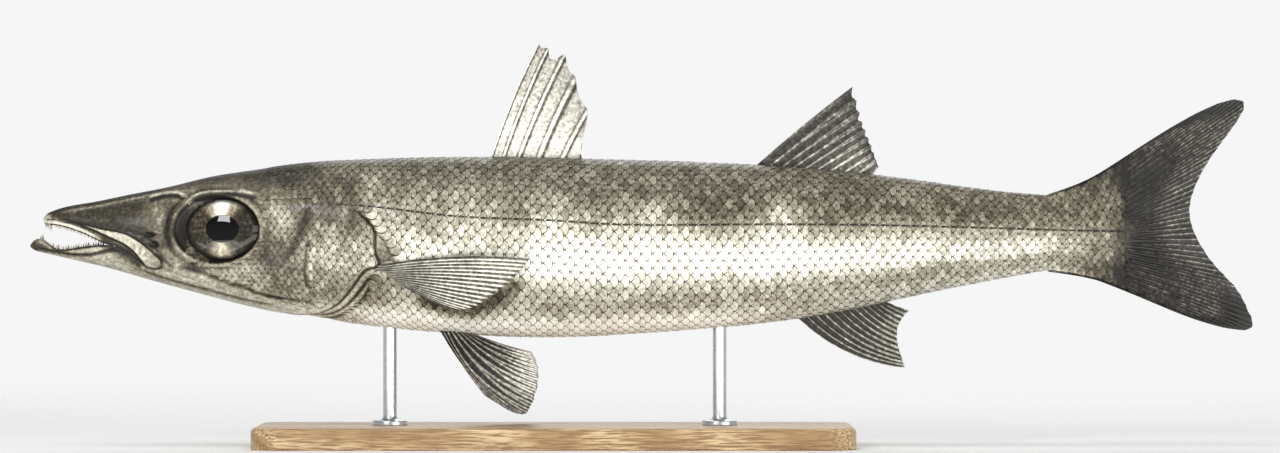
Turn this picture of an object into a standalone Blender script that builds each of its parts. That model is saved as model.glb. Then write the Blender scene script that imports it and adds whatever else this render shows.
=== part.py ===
# A young barracuda at life size, swimming level above a flat base on two short rods.
#
# +X runs from head to tail, +Z is up, and the fish is mirrored across the XZ plane.
# The origin is on the underside of the base, below the middle of the fish's length.
# Shapes are given in millimetres: a station is the distance back from the tip of the
# chin, a height is the distance above the body's axis, and a side is the distance to
# the fish's right of its middle plane.

import math
from dataclasses import dataclass

import bpy
import bmesh
import numpy as np
from mathutils import Vector

MM = 0.001
TOTAL_LENGTH = 450.0
AXIS_HEIGHT = 79.0
GAP = 0.3

# Outlines seen from the side, as (station, height)
BACK = [
    (4.8, 6.4), (10.3, 8.6), (22.1, 11.0), (36.8, 14.0), (51.5, 16.9), (66.2, 20.5), (80.9, 22.9),
    (99.3, 25.5), (117.7, 26.9), (143.4, 27.8), (172.8, 28.0), (209.6, 27.2), (246.3, 26.1),
    (283.1, 24.1), (312.5, 21.3), (334.6, 18.4), (356.6, 15.5), (371.3, 14.2), (388.0, 12.6), (405.0, 9.6),
]
BELLY = [
    (0.0, -6.4), (7.4, -8.2), (14.7, -9.9), (29.4, -13.4), (44.1, -17.6), (58.9, -21.7), (73.6, -25.7),
    (88.3, -29.2), (103.0, -31.8), (125.0, -34.7), (143.4, -36.5), (172.8, -38.6), (194.9, -38.9),
    (224.3, -37.5), (253.7, -35.3), (283.1, -32.0), (312.5, -26.5), (334.6, -21.8), (356.6, -17.5),
    (371.3, -14.9), (388.0, -12.8), (405.0, -9.6),
]
MOUTH_LINE = [
    (4.8, 3.6), (15.1, 2.0), (21.0, -0.6), (25.6, -2.7), (32.4, -5.2), (39.1, -8.6), (48.9, -12.8),
    (60.0, -17.2), (72.0, -21.7),
]
LOWER_LIP = [
    (0.0, -3.9), (2.6, -2.5), (4.8, -2.4), (8.0, -4.7), (15.1, -6.0), (22.6, -5.3), (30.0, -4.9),
    (72.0, -4.9),
]

# Outlines seen from above, as (station, half width)
HALF_WIDTH = [
    (4.8, 2.7), (10.0, 4.2), (20.0, 6.4), (32.0, 8.8), (44.0, 11.0), (56.0, 13.2), (66.0, 14.7),
    (78.0, 16.3), (95.0, 18.6), (112.0, 20.6), (130.0, 22.2), (150.0, 23.4), (180.0, 24.2), (210.0, 24.2),
    (240.0, 23.2), (270.0, 21.0), (300.0, 17.8), (325.0, 14.4), (345.0, 11.3), (360.0, 9.0), (375.0, 6.8),
    (390.0, 4.6), (405.0, 2.4),
]
JAW_HALF_WIDTH = [
    (0.0, 3.2), (4.0, 3.9), (10.0, 5.0), (20.0, 6.7), (32.0, 8.5), (44.0, 10.4), (56.0, 12.0),
    (62.0, 12.3), (72.0, 11.2),
]

# Cross-sections: the height of the widest level, and how square the section is above
# and below it, where 2 is an ellipse
WIDEST = MOUTH_LINE[:6] + [
    (48.9, -12.6), (60.0, -13.2), (72.0, -10.5), (88.0, -6.5), (110.0, -3.5), (172.0, -4.0),
    (240.0, -5.0), (300.0, -3.2), (350.0, -1.0), (405.0, 0.0),
]
SQUARE_ABOVE = [(4.8, 2.3), (30.0, 2.6), (60.0, 2.9), (80.0, 3.0), (100.0, 2.6), (130.0, 2.2), (172.0, 2.0)]
SQUARE_BELOW = [(0.0, 2.6), (60.0, 2.3), (90.0, 2.1), (172.0, 2.0)]
LIP_SHARE = 0.78
PALATE_RISE = [(4.8, 0.6), (14.0, 2.2), (26.0, 3.0), (42.0, 1.2), (52.0, 0.0)]
TONGUE_FLOOR = [(0.0, 0.6), (12.0, 2.6), (30.0, 3.2), (48.0, 1.6), (60.0, 0.0)]
SNOUT_TIP, SNOUT_ROUND = 4.8, 3.4
CHIN_TIP, CHIN_ROUND = 0.0, 2.8

# Where the body is parted, as stations
SNOUT_END = 52.0
JAW_END = 68.0
HEAD_END = 112.0
FORE_TRUNK_END = 180.0
TRUNK_END = 262.0
STALK_END = 405.0

# The edge of a gill cover, clockwise from its top, and the side where its plate begins
GILL_EDGE = [
    (112.5, 11.0), (118.0, 9.6), (121.5, 7.2), (124.5, 4.4), (126.9, 1.6), (127.8, -2.5), (127.8, -8.0),
    (129.1, -12.0), (127.4, -18.0), (123.6, -23.6), (118.1, -27.8), (112.0, -29.2), (106.0, -27.6),
    (102.8, -23.0), (101.5, -16.0), (101.2, -8.0), (102.0, 0.0), (104.2, 6.0), (107.6, 9.8),
]
GILL_INSIDE = 9.0

# The eye is an oval button: (share of its half width, height above its rim)
EYE_STATION, EYE_HEIGHT = 71.6, 1.1
EYE_HALF_LENGTH, EYE_HALF_HEIGHT = 13.3, 11.3
EYE_PROFILE = [
    (0.02, 2.1), (0.36, 1.9), (0.66, 1.35), (0.87, 0.6), (1.0, -0.5), (0.98, -3.0), (0.76, -5.2),
    (0.40, -6.4), (0.02, -6.8),
]
EYE_SIDES = 14

# Teeth stand in a row on each side of a jaw, behind the fangs at its tip
TOOTH_ROW = 0.86
TOOTH_SINK = 0.7
UPPER_FANGS, UPPER_TEETH = [(6.6, 1.9), (8.4, 1.5)], (11.0, 26.5, 12)
LOWER_FANGS, LOWER_TEETH = [(4.2, 1.6)], (9.0, 28.5, 11)
TOOTH_LENGTH, TOOTH_SHARE_WIDE = 1.1, 0.32
TOOTH_SIDES = 4

BASE_STATION, BASE_LENGTH, BASE_WIDTH, BASE_THICK = 193.0, 220.0, 92.0, 8.0
BASE_CORNER, BASE_EDGE = 12.0, 1.5
ROD_STATIONS = {"front": 132.4, "back": 253.7}
ROD_RADIUS, ROD_FOOT_RADIUS, ROD_FOOT_THICK, ROD_FOOT_EDGE = 2.5, 6.5, 1.8, 0.5
ROD_SIDES = 16

RING_POINTS = 30
HEAD_STEP, TRUNK_STEP = 6.0, 12.0
CUTTER_SIDE = 40.0

BACK_COLOUR, SIDE_COLOUR, BELLY_COLOUR = (0.10, 0.12, 0.10), (0.45, 0.48, 0.46), (0.70, 0.70, 0.66)
FIN_COLOUR, CLEAR_FIN_COLOUR, EYE_COLOUR = (0.05, 0.05, 0.04), (0.45, 0.42, 0.34), (0.50, 0.47, 0.36)
OAK_COLOUR, STEEL_COLOUR = (0.42, 0.27, 0.14), (0.60, 0.61, 0.62)


@dataclass
class Fin:
    """A fan of rays, from its first key ray to its last.

    A key ray is (root station, root height, tip station, tip height). The bows are the
    first and last rays' forward bend, and the notch is how much shorter the membrane
    is half way between two rays, both as shares of the length. Thick is (root, tip).
    """

    name: str
    colour: str
    rays: int
    bows: tuple
    notch: float
    thick: tuple
    keys: list


FIRST_DORSAL = Fin(
    "first_dorsal_fin", "clear", 6, (0.020, 0.010), 0.08, (1.5, 0.8),
    [
        (169.8, 28.0, 187.2, 69.3), (174.3, 28.0, 190.7, 67.9), (180.0, 28.0, 196.8, 65.6),
        (187.3, 28.0, 200.8, 57.0), (196.1, 27.8, 205.2, 44.8), (203.4, 27.6, 203.0, 35.0),
    ],
)
SECOND_DORSAL = Fin(
    "second_dorsal_fin", "dark", 10, (0.01, 0.0), 0.012, (1.6, 0.7),
    [
        (267.6, 25.0, 302.6, 53.6), (280.4, 24.4, 305.0, 49.4), (291.0, 23.4, 306.3, 43.4),
        (301.6, 22.4, 308.6, 35.6), (310.4, 21.5, 312.2, 27.4),
    ],
)
ANAL = Fin(
    "anal_fin", "dark", 10, (-0.085, -0.02), 0.012, (1.6, 0.7),
    [
        (283.0, -32.0, 322.3, -50.0), (293.5, -30.2, 321.0, -46.0), (302.5, -28.5, 319.3, -39.6),
        (310.0, -27.0, 319.9, -33.6), (315.9, -25.9, 323.6, -28.7),
    ],
)
TAIL = Fin(
    "tail_fin", "dark", 15, (0.0, 0.0), 0.006, (2.2, 0.7),
    [
        (373.0, 12.4, 375.5, 15.2), (376.5, 12.2, 388.5, 19.2), (380.0, 12.0, 402.5, 27.6),
        (384.0, 11.2, 422.5, 40.2), (387.0, 10.4, 440.0, 48.4), (390.0, 9.0, 447.0, 46.8),
        (392.5, 6.6, 441.8, 37.4), (394.0, 4.0, 434.0, 26.6), (394.6, 1.4, 428.2, 15.2),
        (394.8, -0.6, 426.8, 6.6), (394.6, -2.6, 429.4, -2.0), (394.0, -5.0, 436.2, -12.2),
        (392.5, -7.4, 444.0, -20.6), (390.0, -9.4, 448.4, -28.6), (387.0, -10.8, 449.0, -35.8),
        (383.5, -11.8, 432.5, -33.4), (380.0, -12.4, 412.0, -25.4), (376.5, -12.8, 393.5, -18.0),
        (373.0, -12.8, 376.0, -15.8),
    ],
)
PECTORAL = Fin(
    "pectoral_fin", "clear", 11, (0.035, -0.03), 0.008, (1.6, 0.7),
    [
        (131.0, -11.7, 184.5, -9.2), (133.2, -13.8, 181.8, -13.2), (135.4, -15.8, 178.1, -18.2),
        (137.6, -18.0, 172.9, -22.8), (139.6, -20.0, 166.3, -26.5), (141.7, -21.7, 157.8, -28.3),
    ],
)
PELVIC = Fin(
    "pelvic_fin", "dark", 6, (-0.10, -0.02), 0.010, (1.6, 0.7),
    [
        (150.8, -36.0, 181.2, -66.8), (154.6, -36.8, 185.0, -62.0), (158.4, -37.2, 186.8, -54.6),
        (161.6, -37.6, 186.6, -48.8), (164.2, -37.8, 184.6, -44.2),
    ],
)
FIN_SINK = 3.0
FIN_ROWS = 4
MEMBRANE_SHARE = 0.7
PECTORAL_START, PECTORAL_SPREAD, PECTORAL_LEAN = 20.6, math.radians(14), math.radians(20)
PELVIC_START, PELVIC_SPREAD = 5.0, math.radians(28)


def clear_scene():
    for old in list(bpy.data.objects):
        bpy.data.objects.remove(old)


def world(station, side, height):
    """The point in metres at this station, side and height."""
    return Vector(((station - TOTAL_LENGTH / 2) * MM, side * MM, (AXIS_HEIGHT + height) * MM))


def smooth_curve(points):
    """A natural cubic spline through (place, value) points, as a function of the place."""
    place, value = np.array(points, float).T
    step = np.diff(place)
    slope = np.diff(value) / step
    count = len(place)
    matrix, right = np.eye(count), np.zeros(count)
    for i in range(1, count - 1):
        matrix[i, i - 1 : i + 2] = step[i - 1], 2 * (step[i - 1] + step[i]), step[i]
        right[i] = 6 * (slope[i] - slope[i - 1])
    bend = np.linalg.solve(matrix, right)

    def value_at(at):
        i = int(np.clip(np.searchsorted(place, at) - 1, 0, count - 2))
        after, before, length = at - place[i], place[i + 1] - at, step[i]
        cubic = (bend[i] * before**3 + bend[i + 1] * after**3) / (6 * length)
        low = (value[i] / length - bend[i] * length / 6) * before
        high = (value[i + 1] / length - bend[i + 1] * length / 6) * after
        return float(cubic + low + high)

    return value_at


def straight_curve(points):
    """Straight runs between (place, value) points, as a function of the place."""
    place, value = np.array(points, float).T
    return lambda at: float(np.interp(at, place, value))


back, belly, widest = smooth_curve(BACK), smooth_curve(BELLY), smooth_curve(WIDEST)
mouth_line, open_lip = smooth_curve(MOUTH_LINE), smooth_curve(LOWER_LIP)
half_width, jaw_half_width = smooth_curve(HALF_WIDTH), smooth_curve(JAW_HALF_WIDTH)
square_above, square_below = straight_curve(SQUARE_ABOVE), straight_curve(SQUARE_BELOW)
palate_rise, floor_depth = straight_curve(PALATE_RISE), straight_curve(TONGUE_FLOOR)


def lower_lip(station):
    """The lower lip is clear of the mouth line in front and follows it further back."""
    return min(open_lip(station), mouth_line(max(station, SNOUT_TIP)) - GAP)


def rounded_tip(station, tip, radius):
    """The share of its full size that a section has near a blunt, round tip."""
    depth = min(max((station - tip) / radius, 0.0), 1.0)
    return math.sqrt(1 - (1 - depth) ** 2)


def shrunk(low, high, share):
    """The two heights brought towards their middle."""
    middle = (low + high) / 2
    return middle + (low - middle) * share, middle + (high - middle) * share


def quarter(square, count=60):
    """Points (across, up) of a quarter of a superellipse, from its top to its side."""
    angle = np.linspace(math.pi / 2, 0, count)
    power = 2 / square
    return np.clip(np.cos(angle), 0, 1) ** power, np.clip(np.sin(angle), 0, 1) ** power


def evenly_spaced(across, up):
    """The half section through these points, cut into equal lengths."""
    length = np.concatenate([[0], np.cumsum(np.hypot(np.diff(across), np.diff(up)))])
    at = np.linspace(0, length[-1], RING_POINTS // 2 + 1)
    return np.interp(at, length, across), np.interp(at, length, up)


def body_half(station):
    """The whole body's section from its back down its side to its belly."""
    top, bottom, level, wide = back(station), belly(station), widest(station), half_width(station)
    over_across, over_up = quarter(square_above(station))
    under_across, under_up = quarter(square_below(station))
    across = np.concatenate([over_across, under_across[-2::-1]]) * wide
    up = np.concatenate([level + over_up * (top - level), level - under_up[-2::-1] * (level - bottom)])
    return evenly_spaced(across, up)


def upper_jaw_half(station):
    """The upper jaw's section from its top down to the lip and in along the palate."""
    size = rounded_tip(station, SNOUT_TIP, SNOUT_ROUND)
    lip, top = shrunk(mouth_line(station), back(station), size)
    wide = half_width(station) * size
    over_across, over_up = quarter(square_above(station))
    inner = np.linspace(1, 0, 30)
    palate = lip + palate_rise(station) * size * (1 - inner**2) ** 1.5
    across = np.concatenate([over_across * wide, inner * LIP_SHARE * wide])
    up = np.concatenate([lip + over_up * (top - lip), palate])
    return evenly_spaced(across, up)


def lower_jaw_half(station):
    """The lower jaw's section from the mouth's floor out over the lip and down to the chin."""
    size = rounded_tip(station, CHIN_TIP, CHIN_ROUND)
    bottom, lip = shrunk(belly(station), lower_lip(station), size)
    wide = jaw_half_width(station) * size
    inner = np.linspace(0, 1, 30)
    depth = min(floor_depth(station), 0.45 * (lip - bottom)) * size
    floor = lip - depth * (1 - inner**2) ** 1.5
    under_across, under_up = quarter(square_below(station))
    across = np.concatenate([inner * LIP_SHARE * wide, under_across[::-1] * wide])
    up = np.concatenate([floor, lip - under_up[::-1] * (lip - bottom)])
    return evenly_spaced(across, up)


def side_at(station, height):
    """How far out the body's skin is at this station and height."""
    top, bottom, level = back(station), belly(station), widest(station)
    if height >= level:
        share, square = (height - level) / (top - level), square_above(station)
    else:
        share, square = (level - height) / (level - bottom), square_below(station)
    return half_width(station) * (1 - min(share, 1.0) ** square) ** (1 / square)


def turn_faces_out(mesh):
    """Turns every face of a closed mesh to point outwards."""
    work = bmesh.new()
    work.from_mesh(mesh)
    bmesh.ops.recalc_face_normals(work, faces=work.faces)
    work.to_mesh(mesh)
    work.free()


def mesh_object(name, points, faces):
    mesh = bpy.data.meshes.new(name)
    mesh.from_pydata(points, [], faces)
    turn_faces_out(mesh)
    made = bpy.data.objects.new(name, mesh)
    bpy.context.scene.collection.objects.link(made)
    return made


def skin_over(name, rings):
    """A closed skin over rings that each have the same number of points."""
    count = len(rings[0])
    faces = []
    for row in range(len(rings) - 1):
        for i in range(count):
            j = (i + 1) % count
            near, far = row * count, (row + 1) * count
            faces.append((near + i, near + j, far + j, far + i))
    last = (len(rings) - 1) * count
    faces.append(tuple(reversed(range(count))))
    faces.append(tuple(range(last, last + count)))
    return mesh_object(name, [point for ring in rings for point in ring], faces)


def body_ring(station, half):
    """A closed ring of points: down the fish's left side and up its right."""
    across, up = half(station)
    left = [world(station, -a, u) for a, u in zip(across, up)]
    right = [world(station, a, u) for a, u in zip(across[-2:0:-1], up[-2:0:-1])]
    return left + right


def ring_stations(first, last, step):
    """The first and last station, with the multiples of the step between them."""
    multiples = [k * step for k in range(int(first // step), int(last // step) + 2)]
    margin = 0.25 * step
    return [first] + [s for s in multiples if first + margin < s < last - margin] + [last]


def tip_stations(tip, radius, last, step):
    """Stations that start close together where a tip is round."""
    near_tip = [tip + radius * share for share in (0.01, 0.1, 0.35)]
    return near_tip + ring_stations(tip + radius * 0.8, last, step)


def loft(name, stations, half):
    return skin_over(name, [body_ring(station, half) for station in stations])


def as_cutter(thing):
    thing.hide_render = True
    thing.display_type = "WIRE"
    return thing


def prism(name, outline, side_from, side_to):
    """A cutter: an outline of (station, height) points drawn across the fish."""
    rings = [[world(station, side, height) for station, height in outline] for side in (side_from, side_to)]
    return as_cutter(skin_over(name, rings))


def combine(thing, other, operation):
    boolean = thing.modifiers.new(operation.lower(), "BOOLEAN")
    boolean.object = other
    boolean.operation = operation
    boolean.solver = "EXACT"


def swell(thing, by):
    """Moves every point of a closed mesh out along its normal."""
    normals = [normal.vector.copy() for normal in thing.data.vertex_normals]
    for vertex, normal in zip(thing.data.vertices, normals):
        vertex.co += normal * by * MM
    return thing


def inset(outline, by):
    """A closed outline, given clockwise, with each of its edges moved inwards."""
    points = [np.array(point) for point in outline]
    moved = []
    for i, point in enumerate(points):
        before, after = point - points[i - 1], points[(i + 1) % len(points)] - point
        first = np.array([before[1], -before[0]]) / np.linalg.norm(before)
        second = np.array([after[1], -after[0]]) / np.linalg.norm(after)
        moved.append(tuple(point + by * (first + second) / (1 + float(first @ second))))
    return moved


def circle(radius, sides):
    turns = [2 * math.pi * k / sides for k in range(sides)]
    return [(radius * math.cos(turn), radius * math.sin(turn)) for turn in turns]


def material(name, colour, roughness, metallic=0.0):
    made = bpy.data.materials.new(name)
    made.use_nodes = True
    shader = made.node_tree.nodes["Principled BSDF"]
    shader.inputs["Base Color"].default_value = (*colour, 1.0)
    shader.inputs["Roughness"].default_value = roughness
    shader.inputs["Metallic"].default_value = metallic
    return made


def finish(thing, look):
    thing.data.materials.append(look)
    thing.data.shade_smooth()
    thing.data.set_sharp_from_angle(angle=math.radians(40))
    return thing


def teeth(name, fangs, row, lip, wide, direction):
    """All of a jaw's teeth as one cutter of cones, ready to be joined to it."""
    first, last, count = row
    spaced = [first + (last - first) * k / (count - 1) for k in range(count)]
    standing = fangs + [(s, TOOTH_LENGTH * (0.8 + 0.2 * (k % 2))) for k, s in enumerate(spaced)]
    points, faces = [], []
    for station, length in standing:
        for side in (-1, 1):
            across = side * TOOTH_ROW * wide(station)
            start, tip = len(points), len(points) + TOOTH_SIDES
            root = lip(station) - direction * TOOTH_SINK
            rim = circle(TOOTH_SHARE_WIDE * length, TOOTH_SIDES)
            points += [world(station + x, across + y, root) for x, y in rim]
            points.append(world(station, across, lip(station) + direction * length))
            faces.append(tuple(range(start, tip)))
            faces += [(start + k, start + (k + 1) % TOOTH_SIDES, tip) for k in range(TOOTH_SIDES)]
    return as_cutter(mesh_object(name, points, faces))


def make_jaws(looks):
    """The upper jaw with the snout, and the lower jaw, each with its teeth."""

    def upper_wide(station):
        return half_width(station) * rounded_tip(station, SNOUT_TIP, SNOUT_ROUND)

    def lower_wide(station):
        return jaw_half_width(station) * rounded_tip(station, CHIN_TIP, CHIN_ROUND)

    upper_stations = tip_stations(SNOUT_TIP, SNOUT_ROUND, SNOUT_END - GAP / 2, HEAD_STEP)
    upper = finish(loft("upper_jaw", upper_stations, upper_jaw_half), looks["side"])
    combine(upper, teeth("upper_teeth", UPPER_FANGS, UPPER_TEETH, mouth_line, upper_wide, -1), "UNION")
    lower_stations = tip_stations(CHIN_TIP, CHIN_ROUND, JAW_END, HEAD_STEP)
    lower = finish(loft("lower_jaw", lower_stations, lower_jaw_half), looks["belly"])
    combine(lower, teeth("lower_teeth", LOWER_FANGS, LOWER_TEETH, lower_lip, lower_wide, 1), "UNION")


def jaw_room():
    """The space under the head that the back of the lower jaw fills."""
    start, end = SNOUT_END - HEAD_STEP, JAW_END + GAP
    line = [(station, mouth_line(station)) for station in np.linspace(start, end, 8)]
    depth = belly(end) - CUTTER_SIDE
    return prism("jaw_room", line + [(end, depth), (start, depth)], -CUTTER_SIDE, CUTTER_SIDE)


def gill_room(name, side):
    return prism(name, GILL_EDGE, side * GILL_INSIDE, side * CUTTER_SIDE)


def eye_axes(side):
    """The eye's backward, upward and outward directions, square to the head's side."""
    reach = 4.0
    along = side_at(EYE_STATION + reach, EYE_HEIGHT) - side_at(EYE_STATION - reach, EYE_HEIGHT)
    upward = side_at(EYE_STATION, EYE_HEIGHT + reach) - side_at(EYE_STATION, EYE_HEIGHT - reach)
    backward = Vector((2 * reach, side * along, 0)).normalized()
    up = Vector((0, side * upward, 2 * reach)).normalized()
    out = up.cross(backward).normalized() * side
    return backward, up, out


def eye_button(name, side):
    """The eye's oval solid, set square to the head's side."""
    centre = world(EYE_STATION, side * side_at(EYE_STATION, EYE_HEIGHT), EYE_HEIGHT)
    backward, up, out = eye_axes(side)
    rings = []
    for share, rise in EYE_PROFILE:
        oval = [
            backward * x * EYE_HALF_LENGTH + up * y * EYE_HALF_HEIGHT
            for x, y in circle(share, EYE_SIDES)
        ]
        rings.append([centre + (point + out * rise) * MM for point in oval])
    return skin_over(name, rings)


def make_eyes(looks):
    for name, side in (("left", -1), ("right", 1)):
        finish(eye_button(f"eye_{name}", side), looks["eye"])


def make_head(looks):
    stations = ring_stations(SNOUT_END + GAP / 2, HEAD_END - GAP / 2, HEAD_STEP)
    head = finish(loft("head", stations, body_half), looks["side"])
    combine(head, jaw_room(), "DIFFERENCE")
    for name, side in (("left", -1), ("right", 1)):
        combine(head, gill_room(f"head_room_{name}", side), "DIFFERENCE")
        combine(head, as_cutter(swell(eye_button(f"eye_socket_{name}", side), GAP)), "DIFFERENCE")


def make_gill_covers(looks):
    """A plate on each side that fills its room in the head and the fore trunk."""
    reach = [station for station, _ in GILL_EDGE]
    stations = ring_stations(min(reach) - 2, max(reach) + 2, HEAD_STEP)
    for name, side in (("left", -1), ("right", 1)):
        cover = finish(loft(f"gill_cover_{name}", stations, body_half), looks["side"])
        inside = side * (GILL_INSIDE + GAP)
        shape = prism(f"gill_shape_{name}", inset(GILL_EDGE, GAP), inside, side * CUTTER_SIDE)
        combine(cover, shape, "INTERSECT")


def make_trunk(looks):
    """The fore trunk behind the head, the trunk, and the tail stalk."""
    lengths = [
        ("fore_trunk", HEAD_END, FORE_TRUNK_END, "back"),
        ("trunk", FORE_TRUNK_END, TRUNK_END, "side"),
        ("tail_stalk", TRUNK_END, STALK_END, "back"),
    ]
    for name, first, last, look in lengths:
        stations = ring_stations(first + GAP / 2, last - GAP / 2, TRUNK_STEP)
        piece = finish(loft(name, stations, body_half), looks[look])
        if name == "fore_trunk":
            for end, side in (("left", -1), ("right", 1)):
                combine(piece, gill_room(f"trunk_room_{end}", side), "DIFFERENCE")


def body_cutter():
    """The body swollen by the gap, which trims whatever grows from it or holds it up."""
    head_stations = ring_stations(SNOUT_END, HEAD_END, HEAD_STEP)
    trunk_stations = ring_stations(HEAD_END, STALK_END, TRUNK_STEP)
    return as_cutter(swell(loft("body_cutter", head_stations + trunk_stations[1:], body_half), GAP))


def fan_curves(fin):
    """A ray's root station and height and tip station and height, across the fan."""
    places = np.linspace(0, 1, len(fin.keys))
    return [smooth_curve(list(zip(places, column))) for column in zip(*fin.keys)]


def ray_line(fin, curves, share):
    """A ray's root, its way to the tip and its bow, at this share of the fan."""
    values = [curve(share) for curve in curves]
    root, tip = np.array(values[:2]), np.array(values[2:])
    return root, tip - root, fin.bows[0] + (fin.bows[1] - fin.bows[0]) * share


def make_fin(fin, name, side_of, look, cutter):
    """A thin ribbed plate over the whole fan, trimmed where it meets the body."""
    curves = fan_curves(fin)
    columns, rows = 2 * fin.rays - 1, FIN_ROWS + 1
    near, far = [], []
    for column in range(columns):
        on_ray = column % 2 == 0
        root, way, bow = ray_line(fin, curves, column / (columns - 1))
        forward = np.array([-way[1], way[0]])
        start, end = -FIN_SINK / float(np.linalg.norm(way)), 1.0 if on_ray else 1.0 - fin.notch
        for along in np.linspace(start, end, rows):
            bend = bow * 4 * max(along, 0.0) * (1 - along)
            station, height = root + way * along + forward * bend
            thick = fin.thick[0] + (fin.thick[1] - fin.thick[0]) * max(along, 0.0)
            half = thick / 2 * (1.0 if on_ray else MEMBRANE_SHARE)
            middle = side_of(station, height)
            near.append(world(station, middle - half, height))
            far.append(world(station, middle + half, height))
    count = columns * rows
    faces = []
    for column in range(columns - 1):
        for row in range(FIN_ROWS):
            a, b = column * rows + row, (column + 1) * rows + row
            faces.append((a, b, b + 1, a + 1))
            faces.append((count + a, count + a + 1, count + b + 1, count + b))
    rim = list(range(rows))
    rim += [column * rows + FIN_ROWS for column in range(1, columns)]
    rim += [(columns - 1) * rows + row for row in range(FIN_ROWS - 1, -1, -1)]
    rim += [column * rows for column in range(columns - 2, 0, -1)]
    for a, b in zip(rim, rim[1:] + rim[:1]):
        faces.append((a, b, b + count, a + count))
    plate = finish(mesh_object(name, near + far, faces), look)
    combine(plate, cutter, "DIFFERENCE")


def make_fins(looks, cutter):
    for fin in (FIRST_DORSAL, SECOND_DORSAL, ANAL, TAIL):
        make_fin(fin, fin.name, lambda station, height: 0.0, looks[fin.colour], cutter)
    for name, side in (("left", -1), ("right", 1)):

        def pectoral_side(station, height, side=side):
            first_station, first_height = PECTORAL.keys[0][:2]
            spread = (station - first_station) * math.tan(PECTORAL_SPREAD)
            lean = (first_height - height) * math.tan(PECTORAL_LEAN)
            return side * (PECTORAL_START + spread - lean)

        def pelvic_side(station, height, side=side):
            return side * (PELVIC_START + (PELVIC.keys[0][1] - height) * math.tan(PELVIC_SPREAD))

        make_fin(PECTORAL, f"pectoral_fin_{name}", pectoral_side, looks[PECTORAL.colour], cutter)
        make_fin(PELVIC, f"pelvic_fin_{name}", pelvic_side, looks[PELVIC.colour], cutter)


def rounded_rectangle(length, width, corner, sides=5):
    """Points of a rectangle with round corners, about its middle."""
    points = []
    for quadrant, (x, y) in enumerate(((1, 1), (-1, 1), (-1, -1), (1, -1))):
        middle_x, middle_y = x * (length / 2 - corner), y * (width / 2 - corner)
        for k in range(sides + 1):
            turn = math.pi / 2 * (quadrant + k / sides)
            points.append((middle_x + corner * math.cos(turn), middle_y + corner * math.sin(turn)))
    return points


def make_base(look):
    """A flat base with round corners and a softened top edge."""
    rings = []
    for height, edge in ((0.0, 0.0), (BASE_THICK - BASE_EDGE, 0.0), (BASE_THICK, BASE_EDGE)):
        outline = rounded_rectangle(BASE_LENGTH - 2 * edge, BASE_WIDTH - 2 * edge, BASE_CORNER - edge)
        rings.append([world(BASE_STATION + x, y, height - AXIS_HEIGHT) for x, y in outline])
    finish(skin_over("stand_base", rings), look)


def make_rod(name, station, look, cutter):
    """A rod with a round foot on the base, trimmed just under the belly."""
    bottom = BASE_THICK + GAP
    profile = [
        (ROD_FOOT_RADIUS, bottom),
        (ROD_FOOT_RADIUS, bottom + ROD_FOOT_THICK - ROD_FOOT_EDGE),
        (ROD_FOOT_RADIUS - ROD_FOOT_EDGE, bottom + ROD_FOOT_THICK),
        (ROD_RADIUS, bottom + ROD_FOOT_THICK),
        (ROD_RADIUS, AXIS_HEIGHT + belly(station) + 3 * ROD_RADIUS),
    ]
    rings = [
        [world(station + x, y, height - AXIS_HEIGHT) for x, y in circle(radius, ROD_SIDES)]
        for radius, height in profile
    ]
    rod = finish(skin_over(f"stand_rod_{name}", rings), look)
    combine(rod, cutter, "DIFFERENCE")


def main():
    clear_scene()
    looks = {
        "back": material("dark_back_skin", BACK_COLOUR, 0.4),
        "side": material("silver_skin", SIDE_COLOUR, 0.35),
        "belly": material("pale_belly_skin", BELLY_COLOUR, 0.4),
        "dark": material("dark_fin", FIN_COLOUR, 0.5),
        "clear": material("clear_fin", CLEAR_FIN_COLOUR, 0.5),
        "eye": material("eye", EYE_COLOUR, 0.1),
        "oak": material("oiled_oak", OAK_COLOUR, 0.5),
        "steel": material("brushed_steel", STEEL_COLOUR, 0.3, 1.0),
    }
    make_jaws(looks)
    make_head(looks)
    make_gill_covers(looks)
    make_eyes(looks)
    make_trunk(looks)
    cutter = body_cutter()
    make_fins(looks, cutter)
    make_base(looks["oak"])
    for name, station in ROD_STATIONS.items():
        make_rod(name, station, looks["steel"], cutter)


main()
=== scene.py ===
# %% [markdown]
# A young barracuda, finished as a museum would show it: wet silver scales, a dark back, glassy eyes
# and spread fins, on an oak base with two steel rods. The solids underneath are a fixed frame that is
# loaded first. Everything below is dressed over that frame, in the same metres, and nothing moves it.

# %% Load the frame
import math

import bmesh
import bpy
import numpy as np
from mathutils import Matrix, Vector


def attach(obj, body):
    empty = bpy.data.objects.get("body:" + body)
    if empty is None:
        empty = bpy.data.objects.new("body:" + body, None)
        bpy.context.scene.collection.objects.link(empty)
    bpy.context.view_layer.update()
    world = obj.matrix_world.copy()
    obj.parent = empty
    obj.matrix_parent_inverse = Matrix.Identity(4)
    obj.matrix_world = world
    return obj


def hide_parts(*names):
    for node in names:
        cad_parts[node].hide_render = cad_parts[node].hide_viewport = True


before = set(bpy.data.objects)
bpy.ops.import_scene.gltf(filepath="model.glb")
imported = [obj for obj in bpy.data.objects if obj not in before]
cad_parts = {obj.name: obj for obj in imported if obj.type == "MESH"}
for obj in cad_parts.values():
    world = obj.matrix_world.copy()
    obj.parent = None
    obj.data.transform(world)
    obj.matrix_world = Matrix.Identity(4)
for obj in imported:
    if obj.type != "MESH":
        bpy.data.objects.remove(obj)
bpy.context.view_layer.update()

print("frame nodes:", len(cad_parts))

# %% [markdown]
# A fish is measured along, across and up from its own axis, so every shape below is written in
# millimetres: a station runs back from the tip of the chin, a height is above the axis, and a side is
# to the fish's right. One function turns these into the frame's metres.

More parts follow.
